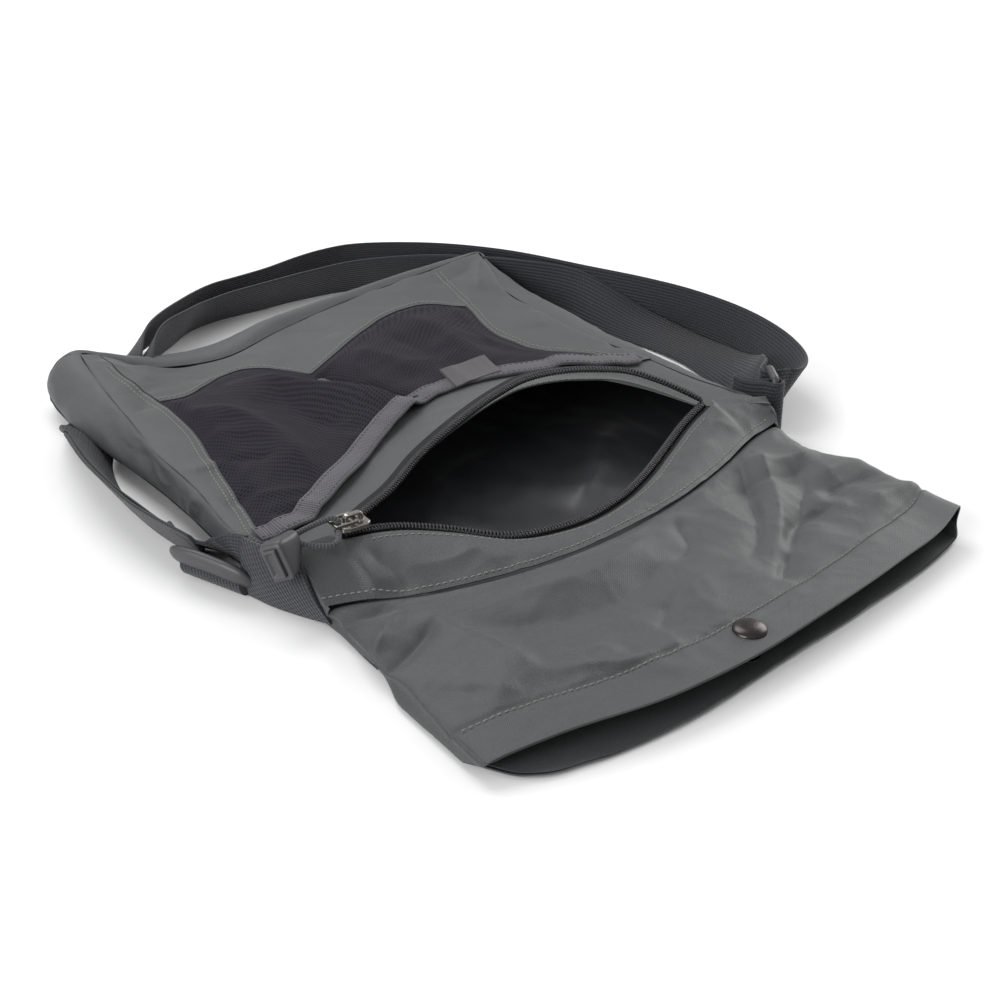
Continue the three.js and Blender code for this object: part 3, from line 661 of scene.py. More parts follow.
def lip_at(table, x, setback):
    """The (y, z) of a line that runs beside a coil, further from the mouth by the setback."""
    x = np.asarray(x, float)
    place = table(np.clip(x, ZIP_LEFT, ZIP_RIGHT))
    slant = 0.5 * np.maximum(x - ZIP_RIGHT, 0)
    return place[..., 0] + setback - slant, place[..., 1]


def upper_lip(x, setback):
    return lip_at(UPPER_COIL, x, setback - COIL_SETBACK)


def lower_lip(x, setback):
    return lip_at(LOWER_COIL, x, COIL_SETBACK - setback)


CLOTH_SETBACK = 0.64 * ZIP_SETBACK


def cloth_setback(x):
    """From the lip's middle line to the cloth; it closes just past both ends of the zip."""
    beyond = np.maximum(np.maximum(ZIP_LEFT - 1 - x, x - ZIP_RIGHT - 1), 0)
    return np.clip(CLOTH_SETBACK - 2.2 * beyond, 0.1, CLOTH_SETBACK)


# Rows of (along, x, z) for the side seams and (along, y, z) for the seam at the closed end.
LEFT_TOP = through([
    (-84, -113.5, 22.8), (-66, -119.0, 20.5), (-50, -120.2, 19.2), (-10, -116.6, 18.8), (22, -116.6, 19.4),
    (58, -113.1, 19.9), (98, -109.3, 21.2), (131, -104.5, 22.4),
])
RIGHT_TOP = through([
    (-84, 116, 23.6), (-62, 114.5, 20.5), (-45, 113, 19.2), (-10, 110.5, 18.2), (25, 105, 18.2),
    (50, 103.5, 18.4), (92, 105, 19.3), (116, 112, 22.5), (130, 114.5, 25.5),
])
END_TOP = through([
    (-104.5, 131, 22.4), (-95, 128.5, 20.5), (-84, 122, 16), (-68, 117, 12.5), (-40, 114, 11.5),
    (-8, 121, 14.5), (30, 126, 18.5), (70, 127.5, 22), (100, 128.5, 24.8), (115, 129, 25.5),
])


def front_share(x, y):
    """Where a point of the front lies between the side seams (0 to 1) and from the lip to the end seam."""
    left, right = LEFT_TOP(y)[..., 0], RIGHT_TOP(y)[..., 0]
    lip = upper_lip(x, cloth_setback(x))[0]
    end = END_TOP(x)[..., 0]
    return np.clip((x - left) / (right - left), 0, 1), np.clip((y - lip) / (end - lip), 0, 1)


def front_base(x, y):
    u, v = front_share(x, y)
    sides = lerp(LEFT_TOP(y)[..., 1], RIGHT_TOP(y)[..., 1], u)
    reach = v**4
    ends = lerp(FRONT_LEVEL, END_TOP(x)[..., 1], reach)
    left_end, right_end = 22.4, 25.5
    corners = lerp(FRONT_LEVEL, lerp(left_end, right_end, u), reach)
    sag = 1.0 * np.sin(math.pi * u) * np.sin(math.pi * v)
    return sides + ends - corners - sag


def lip_rise(x, y):
    """How far the front is pulled up behind the raised upper lip."""
    lip = upper_lip(x, CLOTH_SETBACK)[0]
    share = np.clip(1 - (y - lip) / RISE_REACH, 0, 1)
    return (upper_lip(x, CLOTH_SETBACK)[1] - FRONT_LEVEL) * share**2


def front_z(x, y):
    v = front_share(x, y)[1]
    x, y = np.asarray(x, float), np.asarray(y, float)
    ripples = 0.55 * crumple(x, y, 30, 3) * np.minimum(1, 6 * v)
    return front_base(x, y) + lip_rise(x, y) + ripples + creases(x, y, FRONT_CREASES)


# Each row: bent line, height, width on its left and on its right.
FRONT_CREASES = [
    ([(-116, 2), (-104, 0), (-97, 4)], 1.6, 6, 2.5),
    ([(-115, -30), (-108, -30), (-101, -24)], -1.2, 4, 5),
    ([(-110, 60), (-100, 70), (-96, 90)], -1.4, 5, 5),
    ([(-104, 124), (-92, 104), (-86, 86)], 1.6, 6, 3),
    ([(-70, 116), (-62, 100), (-64, 84)], -1.5, 6, 8),
    ([(-40, 114), (-30, 96), (-34, 78)], 1.2, 9, 5),
    ([(-8, 120), (8, 104), (14, 92)], -1.2, 6, 8),
    ([(113, 126), (102, 110), (92, 96)], 1.8, 5, 3),
    ([(113, 126), (95, 116), (70, 112)], -1.2, 5, 5),
    ([(112, 10), (104, 4), (94, -6)], -1.4, 4, 6),
    ([(104, 60), (96, 52), (92, 40)], 1.0, 4, 6),
]


# ---- front pieces ----------------------------------------------------------------------------
LEFT_SEAM = through([
    (-62, -114), (-23, -105.6), (0, -101.5), (41, -94), (69.5, -93.9), (104, -96.8), (134, -95.8),
])
RIGHT_SEAM = through([
    (-16, 104.5), (2, 94), (13, 82), (24, 73), (40, 69), (55, 69), (79, 75), (121, 82), (134, 83),
])
ARCH_LEFT = through([
    (-95, 69.7), (-81, 70.5), (-68, 78.7), (-54, 87.2), (-42.4, 87.8), (-33, 79.2), (-24, 61),
])
ARCH_RIGHT = through([(-24, 61), (-4.5, 73.7), (24, 91.5), (47.6, 99.4), (64.4, 96), (78.4, 81.6)])
CUSP = (-24.0, 61.0)
POCKET_EDGE = through([
    (-118, -61), (-101, -60.8), (-84.7, -50.9), (-66.6, -37.9), (-26.7, -8.9), (4.7, 6.1), (36.7, 5),
    (66, -1.5), (104, -14.3),
])
LAYER = 0.9


def arch_y(x):
    """The lower edge of the yoke: two arches that meet in a point."""
    return np.where(x < CUSP[0], ARCH_LEFT(x), ARCH_RIGHT(x))


def patch(low_y, high_y, left_x, right_x, rows, cols, start=(-100.0, 100.0), rounds=8):
    """Grid of (x, y) between two side curves given over y and two end curves given over x."""
    across = np.linspace(0, 1, cols)[None, :]
    up = np.linspace(0, 1, rows)[:, None]
    x = lerp(*start, across) + 0 * up
    for _ in range(rounds):
        y = lerp(low_y(x), high_y(x), up)
        x = lerp(left_x(y), right_x(y), across)
    return x, y


def edge_dip(x, y):
    """The cloth turns down into the outer seams."""
    left, right = LEFT_TOP(y)[..., 0], RIGHT_TOP(y)[..., 0]
    gap = np.minimum(np.minimum(x - left, right - x), END_TOP(x)[..., 0] - y)
    return -0.9 * np.exp(-np.maximum(gap, 0) / 1.4)


def raised(x, y, lift):
    return np.stack([x, y, front_z(x, y) + edge_dip(x, y) + lift], axis=2)


def surface_path(points, height):
    """A smooth line over the front with its upward normals."""
    line = path_through([(px, py, 0) for px, py in points], 1.0)
    x, y = line[:, 0], line[:, 1]
    z = height(x, y)
    slope_x = (height(x + 0.4, y) - height(x - 0.4, y)) / 0.8
    slope_y = (height(x, y + 0.4) - height(x, y - 0.4)) / 0.8
    normals = np.column_stack([-slope_x, -slope_y, np.ones_like(x)])
    return np.column_stack([x, y, z]), normals / np.linalg.norm(normals, axis=1)[:, None]


def stitch_over(name, points, height, body="pouch_body"):
    line, normals = surface_path(points, height)
    stitch_row(name, line, normals, body)


def build_front_panel():
    x, y = patch(
        lambda x: upper_lip(x, cloth_setback(x))[0],
        lambda x: END_TOP(x)[..., 0] - 0.4,
        lambda y: LEFT_TOP(y)[..., 0] + 0.4,
        lambda y: RIGHT_TOP(y)[..., 0] - 0.4,
        110, 130,
    )
    grid = raised(x, y, 0)
    obj = sheet("front_panel", grid, [LOOKS["nylon"], LOOKS["coated"]])
    hold(obj, "pouch_body", "front_panel", slot="body_cloth")

    inset = 2.4
    places = np.linspace(ZIP_LEFT, ZIP_RIGHT, 24)
    points = [(px, float(upper_lip(px, CLOTH_SETBACK)[0]) + inset) for px in places]
    stitch_over("stitching_upper_lip", points, front_z)


def build_side_strip(name, seam, side):
    outer = (lambda y: LEFT_TOP(y)[..., 0] + 0.4) if side < 0 else (lambda y: RIGHT_TOP(y)[..., 0] - 0.4)
    low = -68 if side < 0 else -16
    left, right = (outer, seam) if side < 0 else (seam, outer)
    x, y = patch(lambda x: low + 0 * x, lambda x: END_TOP(x)[..., 0] - 0.4, left, right, 150, 22)
    grid = raised(x, y, LAYER)
    fold = grid[:, -1 if side < 0 else 0]
    fold[:, 2] -= 0.3
    obj = sheet(name, grid, [LOOKS["nylon"], LOOKS["coated"]])
    hold(obj, "pouch_body", name, slot="body_cloth")
    places = np.linspace(low + 2, 124 if side > 0 else 112, 22)
    for row, inset in enumerate((1.6, 4.2)):
        points = [(float(seam(py)) + side * inset, py) for py in places]
        label = "left" if side < 0 else "right"
        stitch_over(f"stitching_{label}_strip_{row}", points, lambda a, b: front_z(a, b) + LAYER)


def build_yoke():
    x, y = patch(
        arch_y,
        lambda x: END_TOP(x)[..., 0] - 0.4,
        lambda y: LEFT_SEAM(y) + 0.2,
        lambda y: RIGHT_SEAM(y) - 0.2,
        60, 150,
    )
    hem_fold = 0.5 * np.exp(-(((y - arch_y(x) - 1.6) / 2.0) ** 2))
    obj = sheet("front_yoke", raised(x, y, LAYER + hem_fold), [LOOKS["nylon"], LOOKS["coated"]])
    hold(obj, "pouch_body", "front_yoke", slot="body_cloth")
    for side, span in (("left", (-94, CUSP[0] - 1)), ("right", (CUSP[0] + 1, 73))):
        points = [(px, float(arch_y(px)) + 2.2) for px in np.linspace(*span, 16)]
        stitch_over(f"stitching_yoke_{side}", points, lambda a, b: front_z(a, b) + LAYER + 0.5)


# Each row: bent line, height, width on its left and on its right.
MESH_FOLDS = [
    ([(-58, 78), (-46, 56), (-36, 39), (-25, 24), (-12, 4), (-6, -8)], 7.5, 3.2, 20),
    ([(-98, 58), (-84, 42), (-75, 21), (-71, 1), (-75, -22), (-80, -50)], 6.5, 8, 11),
    ([(-48, 62), (-50, 34), (-48, 6), (-42, -14)], -2.4, 8, 9),
    ([(-100, 4), (-90, -6), (-80, -14)], -1.6, 3, 4),
    ([(-106, -34), (-94, -38), (-80, -44)], 1.5, 3, 4),
    ([(-108, -50), (-98, -52), (-86, -54)], -1.2, 3, 3),
    ([(0, 72), (10, 50), (14, 26)], 2.6, 12, 10),
    ([(42, 94), (46, 62), (42, 30), (36, 12)], 3.2, 14, 9),
    ([(66, 80), (60, 50), (56, 20)], -2.0, 8, 8),
    ([(84, 4), (76, 2), (62, 4)], 1.6, 4, 5),
    ([(22, 80), (28, 54), (24, 28)], -1.6, 6, 6),
]


def mesh_z(x, y):
    divide = crease(x, y, [CUSP, (-17, 32), (-3, 6)], -3.5, 5, 3.5, 0.12)
    x, y = np.asarray(x, float), np.asarray(y, float)
    left, right = LEFT_SEAM(y), RIGHT_SEAM(y)
    inside = smooth(np.minimum(x - left, right - x) / 8) * smooth((arch_y(x) - y) / 7)
    puff = creases(x, y, MESH_FOLDS) + 1.0 * crumple(x, y, 26, 41) + 1.6 + divide
    return front_z(x, y) + LAYER * 0.8 + np.maximum(puff, -1.0) * inside


def build_mesh():
    x, y = patch(
        lambda x: POCKET_EDGE(x) + 0.5,
        lambda x: arch_y(x) + 1.2,
        lambda y: LEFT_SEAM(y) - 1,
        lambda y: RIGHT_SEAM(y) + 1,
        130, 200,
    )
    grid = np.stack([x, y, mesh_z(x, y)], axis=2)
    uv = np.stack([lengths_along(grid, 1), lengths_along(grid, 0)], axis=2)
    obj = sheet("mesh_pocket", grid, [LOOKS["mesh"]], 0.5, uv)
    hold(obj, "pouch_body", "mesh_pocket", slot="mesh_cloth")


def binding_z(x, y):
    """The binding lies on the front, or on the mesh where the mesh stands higher."""
    return np.maximum(front_z(x, y) + 1.4, mesh_z(x, POCKET_EDGE(x) + 5) + 0.5)


def build_binding():
    span = np.linspace(-116, 104, 210)
    edge = POCKET_EDGE(span)
    line = np.column_stack([span, edge, binding_z(span, edge)])
    direction = np.gradient(line, axis=0)
    flat = np.column_stack([-direction[:, 1], direction[:, 0], 0 * span])
    flat /= np.linalg.norm(flat, axis=1)[:, None]
    section = soft_box(5.0, 0.85, 0.8)
    obj = swept("pocket_binding", line, section, flat, [LOOKS["binding"]])
    hold(obj, "pouch_body", "pocket_binding", slot="binding")
    for name, inset in (("lower", -3.6), ("upper", 3.4)):
        row = line + flat * inset
        row[:, 2] += 0.85
        up = np.broadcast_to((0.0, 0.0, 1.0), row.shape)
        stitch_row(f"stitching_binding_{name}", row, up, "pouch_body", 2.6, 1.8, 0.2, LOOKS["dark_thread"])


def build_label_tab():
    """A short tape folded double, its ends caught under the binding, standing a little off the mesh."""
    corner = np.array([15.0, 1.0])
    width = np.array([25.0, 1.5])
    depth = np.array([1.5, 16.0])
    across, up = np.meshgrid(np.linspace(0, 1, 30), np.linspace(0, 1, 24))
    x = corner[0] + width[0] * across + depth[0] * up
    y = corner[1] + width[1] * across + depth[1] * up
    z = binding_z(x, POCKET_EDGE(x)) + 1.3 + 1.8 * up**1.4 - 0.8 * np.sin(math.pi * across) * up
    obj = sheet("label_tab", np.stack([x, y, z], axis=2), [LOOKS["label"]], 1.1)
    soften(obj, 0.45, 3)
    hold(obj, "pouch_body", "label_tab", slot="label_tape")


# ---- gusset ----------------------------------------------------------------------------------
# Each row: top seam (x, y, z), bottom seam (x, y, z), then how far the cloth stands out and up
# as it leaves the top seam and as it meets the bottom seam.
GUSSET = [
    ((-111, -104, 9.3), (-110.5, -104, 1.6), (0.3, -2, 0.3, 2)),
    ((-113.5, -84, 22.8), (-112.5, -84, 2.5), (0.5, -6, 1, 6)),
    ((-120.2, -50, 19.2), (-119.0, -50, 5.5), (1.0, -3, 0.6, 4)),
    ((-116.6, -10, 18.8), (-119.4, -10, 7.5), (1.2, -2, 0.3, 3)),
    ((-116.6, 22, 19.4), (-120.8, 22, 8.0), (1.2, -2, 0.2, 3)),
    ((-113.1, 58, 19.9), (-124.6, 58, 8.0), (1.6, -1, 0.2, 3)),
    ((-109.3, 98, 21.2), (-126.2, 98, 8.5), (2.6, 1, 0.4, 3.5)),
    ((-104.5, 131, 22.4), (-119.5, 132, 9.0), (7.5, 3, 4, 5)),
    ((-95, 128.5, 20.5), (-97, 136.0, 5.0), (4.0, 4, 4, 10)),
    ((-84, 122, 16.0), (-82, 134, 3.5), (3.5, 6, 4, 11)),
    ((-68, 117, 12.5), (-66, 134, 2.5), (4.0, 5, 4, 11)),
    ((-40, 114, 11.5), (-38, 134, 2.0), (4.0, 5, 4, 11)),
    ((-8, 121, 14.5), (-8, 134, 2.0), (4.0, 7, 4, 17)),
    ((30, 126, 18.5), (30, 134.5, 2.0), (4.0, 5, 4, 18)),
    ((70, 127.5, 22.0), (70, 134.5, 2.0), (4.0, 5, 4, 18)),
    ((100, 128.5, 24.8), (100, 134, 2.0), (4.0, 3, 4, 14)),
    ((115, 129, 25.5), (113.5, 131, 2.0), (4.0, 0, 4, 8)),
    ((112, 116, 22.5), (118, 118, 2.0), (6.0, 3, 3, 8)),
    ((105, 92, 19.3), (119, 92, 2.0), (14.0, 2, 6, 9)),
    ((103.5, 50, 18.4), (119, 50, 2.0), (16.0, 2, 6, 9)),
    ((105, 25, 18.2), (119, 25, 2.0), (14.0, 1, 5, 8)),
    ((110.5, -10, 18.2), (118.5, -10, 2.0), (9.0, 2, 7, 8)),
    ((113, -45, 19.2), (118, -45, 2.0), (7.0, 0, 5, 7)),
    ((116, -86, 22.8), (118, -86, 2.0), (2.0, -4, 2, 6)),
    ((115.9, -93.5, 15.2), (117.3, -95, 2.0), (1.0, -4, 1, 4)),
]
# Rows of GUSSET at which its three pieces are joined.
LEFT_JOIN, RIGHT_JOIN = 7.0, 16.0
GUSSET_DEPTH = 24
GUSSET_STEP = 30  # run allowed for each row of GUSSET, so that ripples differ between the pieces


def gusset_grid(start, end, rows, cols):
    table = np.array([[*top, *bottom, *stand] for top, bottom, stand in GUSSET], float)
    place = np.arange(len(table), dtype=float)
    along = np.linspace(start, end, cols)
    row = through(np.column_stack([place, table]))(along)
    top, bottom, stand = row[:, :3], row[:, 3:6], row[:, 6:]
    direction = np.gradient(bottom, axis=0)
    out = np.column_stack([-direction[:, 1], direction[:, 0], np.zeros(cols)])
    out /= np.linalg.norm(out, axis=1)[:, None]
    up = np.array([0.0, 0.0, 1.0])
    first = top + out * stand[:, :1] + up * stand[:, 1:2]
    second = bottom + out * stand[:, 2:3] + up * stand[:, 3:]
    k = np.linspace(0, 1, rows)[:, None, None]
    grid = cubic(top, first, second, bottom, k)
    run = distances(bottom) + start * GUSSET_STEP
    depth = GUSSET_DEPTH * k[..., 0] + 0 * run
    run = run[None] + 0 * depth
    middle = np.sin(math.pi * k[..., 0]) ** 0.6
    ripple = middle * (0.8 * crumple(run, depth * 1.6, 26, 77) + 0.3 * crumple(run, depth, 9, 13))
    ripple = ripple - 0.6 * np.exp(-depth / 1.4) - 0.5 * np.exp(-(GUSSET_DEPTH - depth) / 1.6)
    ripple = ripple + middle * creases(run, depth, GUSSET_CREASES)
    grid = grid + out[None] * ripple[..., None]
    return grid, np.stack([run, depth], axis=2)


# In the gusset's own (run from its left end, depth below the top seam).
GUSSET_CREASES = [
    ([(88, 0), (92, 12), (88, 24)], 2.0, 3, 7),
    ([(40, 2), (60, 14), (90, 22)], 1.2, 4, 5),
    ([(120, 3), (150, 12), (190, 10)], -1.4, 6, 5),
    ([(150, 20), (180, 14), (215, 18)], 1.2, 5, 4),
]


def build_gusset():
    parts = (
        ("gusset_left", 0.0, LEFT_JOIN, 26, 170),
        ("gusset_bottom", LEFT_JOIN, RIGHT_JOIN, 26, 200),
        ("gusset_right", RIGHT_JOIN, len(GUSSET) - 1.0, 26, 170),
    )
    for name, start, end, rows, cols in parts:
        grid, uv = gusset_grid(start, end, rows, cols)
        # The gussets take the lighter copy of the nylon, which is painted light.
        obj = sheet(name, grid, [LOOKS["side_nylon_painted_light"], LOOKS["coated"]], CLOTH, uv)
        hold(obj, "pouch_body", name, slot="gusset_cloth")


# ---- back panel ------------------------------------------------------------------------------
def back_z(x, y):
    """Height of the back: flat on the ground, but over the strap at one corner and lifted on the left."""
    x, y = np.asarray(x, float), np.asarray(y, float)
    corner = np.exp(-(((x + 108) / 26) ** 2) - ((y - 118) / 30) ** 2)
    side = np.exp(-(((x + 123) / 7) ** 2)) * smooth((y + 84) / 60)
    rim = smooth((np.abs(x) - 105) / 12) * 1.2
    ripples = 0.9 * (1 + crumple(x, y, 34, 91)) * (1 - corner)
    lifted = 4.6 * corner + 5.0 * side * (1 - 0.5 * corner)
    return CLOTH + 0.1 + ripples + rim + lifted + creases(x, y, BACK_CREASES)


BACK_CREASES = [
    ([(8, -90), (46, -60), (82, -30)], 3.2, 6, 9),
    ([(-50, -70), (-20, -40), (20, -20)], 2.2, 7, 10),
]


def build_back():
    left = through([
        (-140, -111), (-104, -110.5), (-84, -112.5), (-50, -118), (-10, -118.8), (22, -119.8), (58, -124),
        (98, -125.6), (116, -124.6), (128, -121), (133.5, -115), (136, -104),
    ])
    right = through([(-140, 115.5), (-100, 117), (110, 118.5), (124, 117.5), (130, 113), (134.5, 104)])
    x, y = patch(lambda x: NECK_JOIN_Y + 0 * x, lambda x: END_Y + 0 * x, left, right, 150, 120)
    grid = np.stack([x, y, back_z(x, y)], axis=2)
    obj = sheet("back_panel", grid, [LOOKS["coated"], LOOKS["nylon"]], CLOTH)
    hold(obj, NECK_FOLD, "back_panel", slot="body_cloth")

    low, high = box_mm("care_label")
    across, up = np.meshgrid(np.linspace(low[0], high[0], 26), np.linspace(low[1], high[1], 14))
    lift = back_z(across, up) + 0.9 + 1.4 * ((across - low[0]) / (high[0] - low[0])) ** 2
    label = sheet("care_label", np.stack([across, up, lift], axis=2), [LOOKS["care"]], 0.3)
    hold(label, "pouch_body", "care_label", slot="care_label")


# ---- zip -------------------------------------------------------------------------------------
COIL_PITCH = 1.35


def zip_strip(lip, low, high, rows, lift=0.0, cols=220):
    x = np.linspace(ZIP_LEFT, ZIP_RIGHT, cols)[None, :]
    setback = np.linspace(low, high, rows)[:, None]
    y, z = lip(x + 0 * setback, setback)
    return np.stack([x + 0 * y, y, z + lift], axis=2)


def coil(name, lip, setback):
    """One continuous wire wound in flattened loops along the lip."""
    x = np.linspace(ZIP_LEFT + 1, ZIP_RIGHT - 1, 900)
    y, z = lip(x, setback)
    core = evenly(np.column_stack([x, y, z + 0.5]), 0.05)
    steps = 14
    length = 0.05 * (len(core) - 1)
    turns = int(length / COIL_PITCH)
    phase = np.linspace(0, turns * 2 * math.pi, turns * steps)
    at = np.interp(phase, [0, phase[-1]], [0, len(core) - 1])
    centre = np.column_stack([np.interp(at, np.arange(len(core)), core[:, i]) for i in range(3)])
    along, across, out = frames_along(centre, (0, 1, 0))
    wide, tall = 1.6, 1.0
    path = centre + across * (wide * np.cos(phase))[:, None] + out * (tall * np.sin(phase))[:, None]
    obj = swept(name, path, round_section(0.42, 6), (1.0, 0.15, 0.1), [LOOKS["coil"]])
    return hold(obj, "pouch_body", name, slot="zip_coil")


def build_zip():
    for side, lip in (("upper", upper_lip), ("lower", lower_lip)):
        grid = zip_strip(lip, COIL_SETBACK, CLOTH_SETBACK + 1.5, 10, -0.35)
        uv = np.stack([lengths_along(grid, 0), lengths_along(grid, 1)], axis=2)
        tape = sheet(f"zip_tape_{side}", grid, [LOOKS["tape"]], 0.5, uv, flip=(side == "lower"))
        hold(tape, "pouch_body", f"zip_tape_{side}", slot="zip_tape")
        coil(f"zip_coil_{side}", lip, COIL_SETBACK - 0.6)
        for row, setback in enumerate((1.2, 2.1)):
            x = np.linspace(ZIP_LEFT + 2, ZIP_RIGHT - 2, 300)
            y, z = lip(x, setback)
            line = np.column_stack([x, y, z + 1.75])
            up = np.broadcast_to((0.0, 0.0, 1.0), line.shape)
            name = f"zip_{side}_thread_{row}"
            stitch_row(name, line, up, "pouch_body", COIL_PITCH, 0.95, 0.16, LOOKS["dark_thread"])


FACING_SEAM = through([
    (-120, -100, 8), (-107, -104, 9.5), (-78, -119, 12), (-28, -131, 15.5), (8, -128, 15.5), (40, -121, 15.5),
    (74, -109, 15.5), (96, -99.5, 15.8), (120, -92.5, 15.4),
])
FACING_CREASES = [
    ([(-90, -92), (-84, -104), (-82, -118)], -2.2, 3, 4),
    ([(-98, -90), (-94, -100), (-94, -112)], 1.2, 4, 3),
    ([(-60, -106), (-52, -116), (-50, -126)], 0.9, 6, 3),
    ([(-10, -112), (6, -112), (24, -116)], 0.9, 3, 3),
    ([(30, -104), (40, -104), (56, -106)], -1.1, 3, 3),
    ([(52, -96), (62, -98), (78, -98)], 1.0, 3, 3),
    ([(84, -86), (88, -92), (92, -98)], 0.9, 4, 3),
]


def facing_z(x, y):
    """Height of the facing at any (x, y), used by the piece and by its stitching."""
    near_y, near_z = lower_lip(x, cloth_setback(x))
    seam = FACING_SEAM(x)
    share = np.clip((y - near_y) / (seam[..., 0] - near_y), 0, 1)
    puff = np.sin(math.pi * share)
    lips = 0.5 * np.exp(-((share / 0.16) ** 2)) + 0.3 * np.exp(-(((1 - share) / 0.14) ** 2))
    folds = creases(x, y, FACING_CREASES) + 0.5 * crumple(x, y, 16, 53)
    return lerp(near_z, seam[..., 1], share) + 1.6 * puff + lips + folds * smooth(share * 5)


def build_facing():
    x, y = patch(
        lambda x: lower_lip(x, cloth_setback(x))[0],
        lambda x: FACING_SEAM(x)[..., 0],
        LEFT_EDGE, RIGHT_EDGE, 34, 220, (-115.0, 115.0),
    )
    grid = np.stack([x, y, facing_z(x, y) + 0.5], axis=2)
    obj = sheet("zip_facing", grid, [LOOKS["nylon"], LOOKS["coated"]], CLOTH, flip=True)
    hold(obj, NECK_FOLD, "zip_facing", slot="body_cloth")
    spans = np.linspace(-112, 112, 26)
    along_zip = [px for px in spans if ZIP_LEFT < px < ZIP_RIGHT]
    upper = [(px, float(lower_lip(px, cloth_setback(px))[0]) - 2.6) for px in along_zip]
    lower = [(px, float(FACING_SEAM(px)[0]) + 2.4) for px in spans]
    for name, points in (("facing_upper", upper), ("facing_lower", lower)):
        stitch_over(f"stitching_{name}", points, lambda a, b: facing_z(a, b) + 0.5, NECK_FOLD)


# ---- neck ------------------------------------------------------------------------------------
LEFT_EDGE = through([
    (-232, -114), (-206, -115.5), (-187, -115), (-166, -113), (-157, -112), (-141, -114), (-128, -112.5),
    (-113, -109.5), (-104, -111), (-96, -112), (-84, -113.4),
])
RIGHT_EDGE = through([
    (-232, 125.5), (-192, 125.5), (-175, 123), (-161, 121), (-140, 119), (-128, 114), (-119, 110),
    (-108, 112), (-94, 115.5), (-84, 116), (-70, 116),
])
FRONT_LIP = through([
    (-120, -207, 7.5), (-88, -212, 11), (-51, -218, 12.6), (-5, -216.5, 13), (27, -211.5, 13.2),
    (78, -201.5, 13.2), (110, -193.5, 13.4), (126, -187, 15.6),
])
BACK_LIP = through([
    (-116, -197, 1.4), (-112, -203.5, 1.3), (-108, -210, 1.2), (-101, -215.5, 1.1), (-85, -219.5, 1.1),
    (-54, -221.5, 1.1), (7, -213.5, 1.1), (55, -206, 1.1), (117, -192, 1.3), (126, -188.5, 1.4),
])
NECK_CREASES = [
    ([(-92, -114), (-87, -138), (-80, -162), (-76, -194)], 4.2, 7, 13),
    ([(-118, -150), (-102, -144), (-84, -136)], -3.4, 2.5, 5),
    ([(-118, -140), (-104, -132), (-90, -120)], 3.0, 4, 3),
    ([(-114, -110), (-103, -115), (-88, -114)], -2.8, 3, 4),
    ([(-112, -160), (-104, -172), (-92, -184)], -1.8, 4, 5),
    ([(-106, -168), (-94, -180), (-86, -192)], 1.8, 5, 5),
    ([(-84, -134), (-66, -152), (-40, -163), (-14, -160), (20, -144)], -3.6, 7, 10),
    ([(-60, -136), (-36, -146), (-10, -144), (14, -134)], 2.6, 6, 6),
    ([(-76, -184), (-60, -191), (-46, -198), (-22, -196)], 2.2, 4, 2.5),
    ([(-72, -176), (-56, -183), (-42, -188)], 1.6, 3.5, 5),
    ([(84, -100), (66, -131), (46, -158), (24, -174)], -3.4, 3, 6),
    ([(93, -100), (78, -130), (58, -158), (36, -178)], 2.8, 4, 6),
    ([(100, -130), (66, -158), (38, -181)], -2.6, 3, 5),
    ([(28, -128), (18, -150), (2, -156)], -2.8, 3, 6),
    ([(29, -188), (38, -180), (48, -173)], -2.2, 2.5, 4),
    ([(45, -172), (66, -158), (92, -160)], -3.0, 4, 5),
    ([(56, -122), (78, -130), (104, -130)], -2.8, 5, 6),
    ([(70, -110), (86, -120), (116, -124)], 2.6, 6, 5),
    ([(84, -134), (102, -138), (150, -139)], 2.8, 10, 7),
    ([(84, -152), (98, -148), (120, -152)], -2.6, 4, 4),
    ([(90, -164), (104, -166), (130, -166)], 3.0, 5, 6),
    ([(-20, -176), (10, -172), (40, -182)], 1.8, 8, 8),
    ([(-30, -190), (-16, -178), (-2, -170)], -1.4, 3, 6),
]


NECK_COLUMNS = 200
WALL_ROWS = 12


def neck_z(x, y):
    """Height of the neck's front layer."""
    seam, lip = FACING_SEAM(x), FRONT_LIP(x)
    share = np.clip((y - seam[..., 0]) / (lip[..., 0] - seam[..., 0]), 0, 1)
    body = lerp(seam[..., 1] + 0.1, lip[..., 1], share)
    loose = np.minimum(smooth(share / 0.05), 1) * smooth((1 - share) / 0.3 + 0.18)
    folds = creases(x, y, NECK_CREASES) + 1.1 * crumple(x, y, 38, 7) + 0.45 * crumple(x, y, 14, 29)
    hem_gap = y - lip[..., 0] - HEM
    hem = 0.35 * smooth(-hem_gap / 0.8) - 0.7 * np.exp(-((hem_gap / 1.4) ** 2))
    tuck = -0.5 * np.exp(-np.maximum(seam[..., 0] - y, 0) / 3)
    return body + folds * loose + hem + tuck


def wall(front, back, out):
    """Side fold from the front layer's edge down to the back layer's, first out and then tucked in."""
    k = np.linspace(0, 1, WALL_ROWS)[None, :, None]
    up = np.array([0.0, 0.0, 1.0])
    height = (front[:, 2] - back[:, 2])[:, None, None]
    bulge = np.array([out, 0.0, 0.0])
    first = front[:, None] + bulge * 2.2 - up * 0.25 * height
    second = back[:, None] + bulge * 2.6 + up * 0.35 * height
    curve = cubic(front[:, None], first, second, back[:, None], k)
    tuck = 2.6 * np.sin(math.pi * k) ** 2 * smooth(height / 8)
    return curve - bulge * tuck


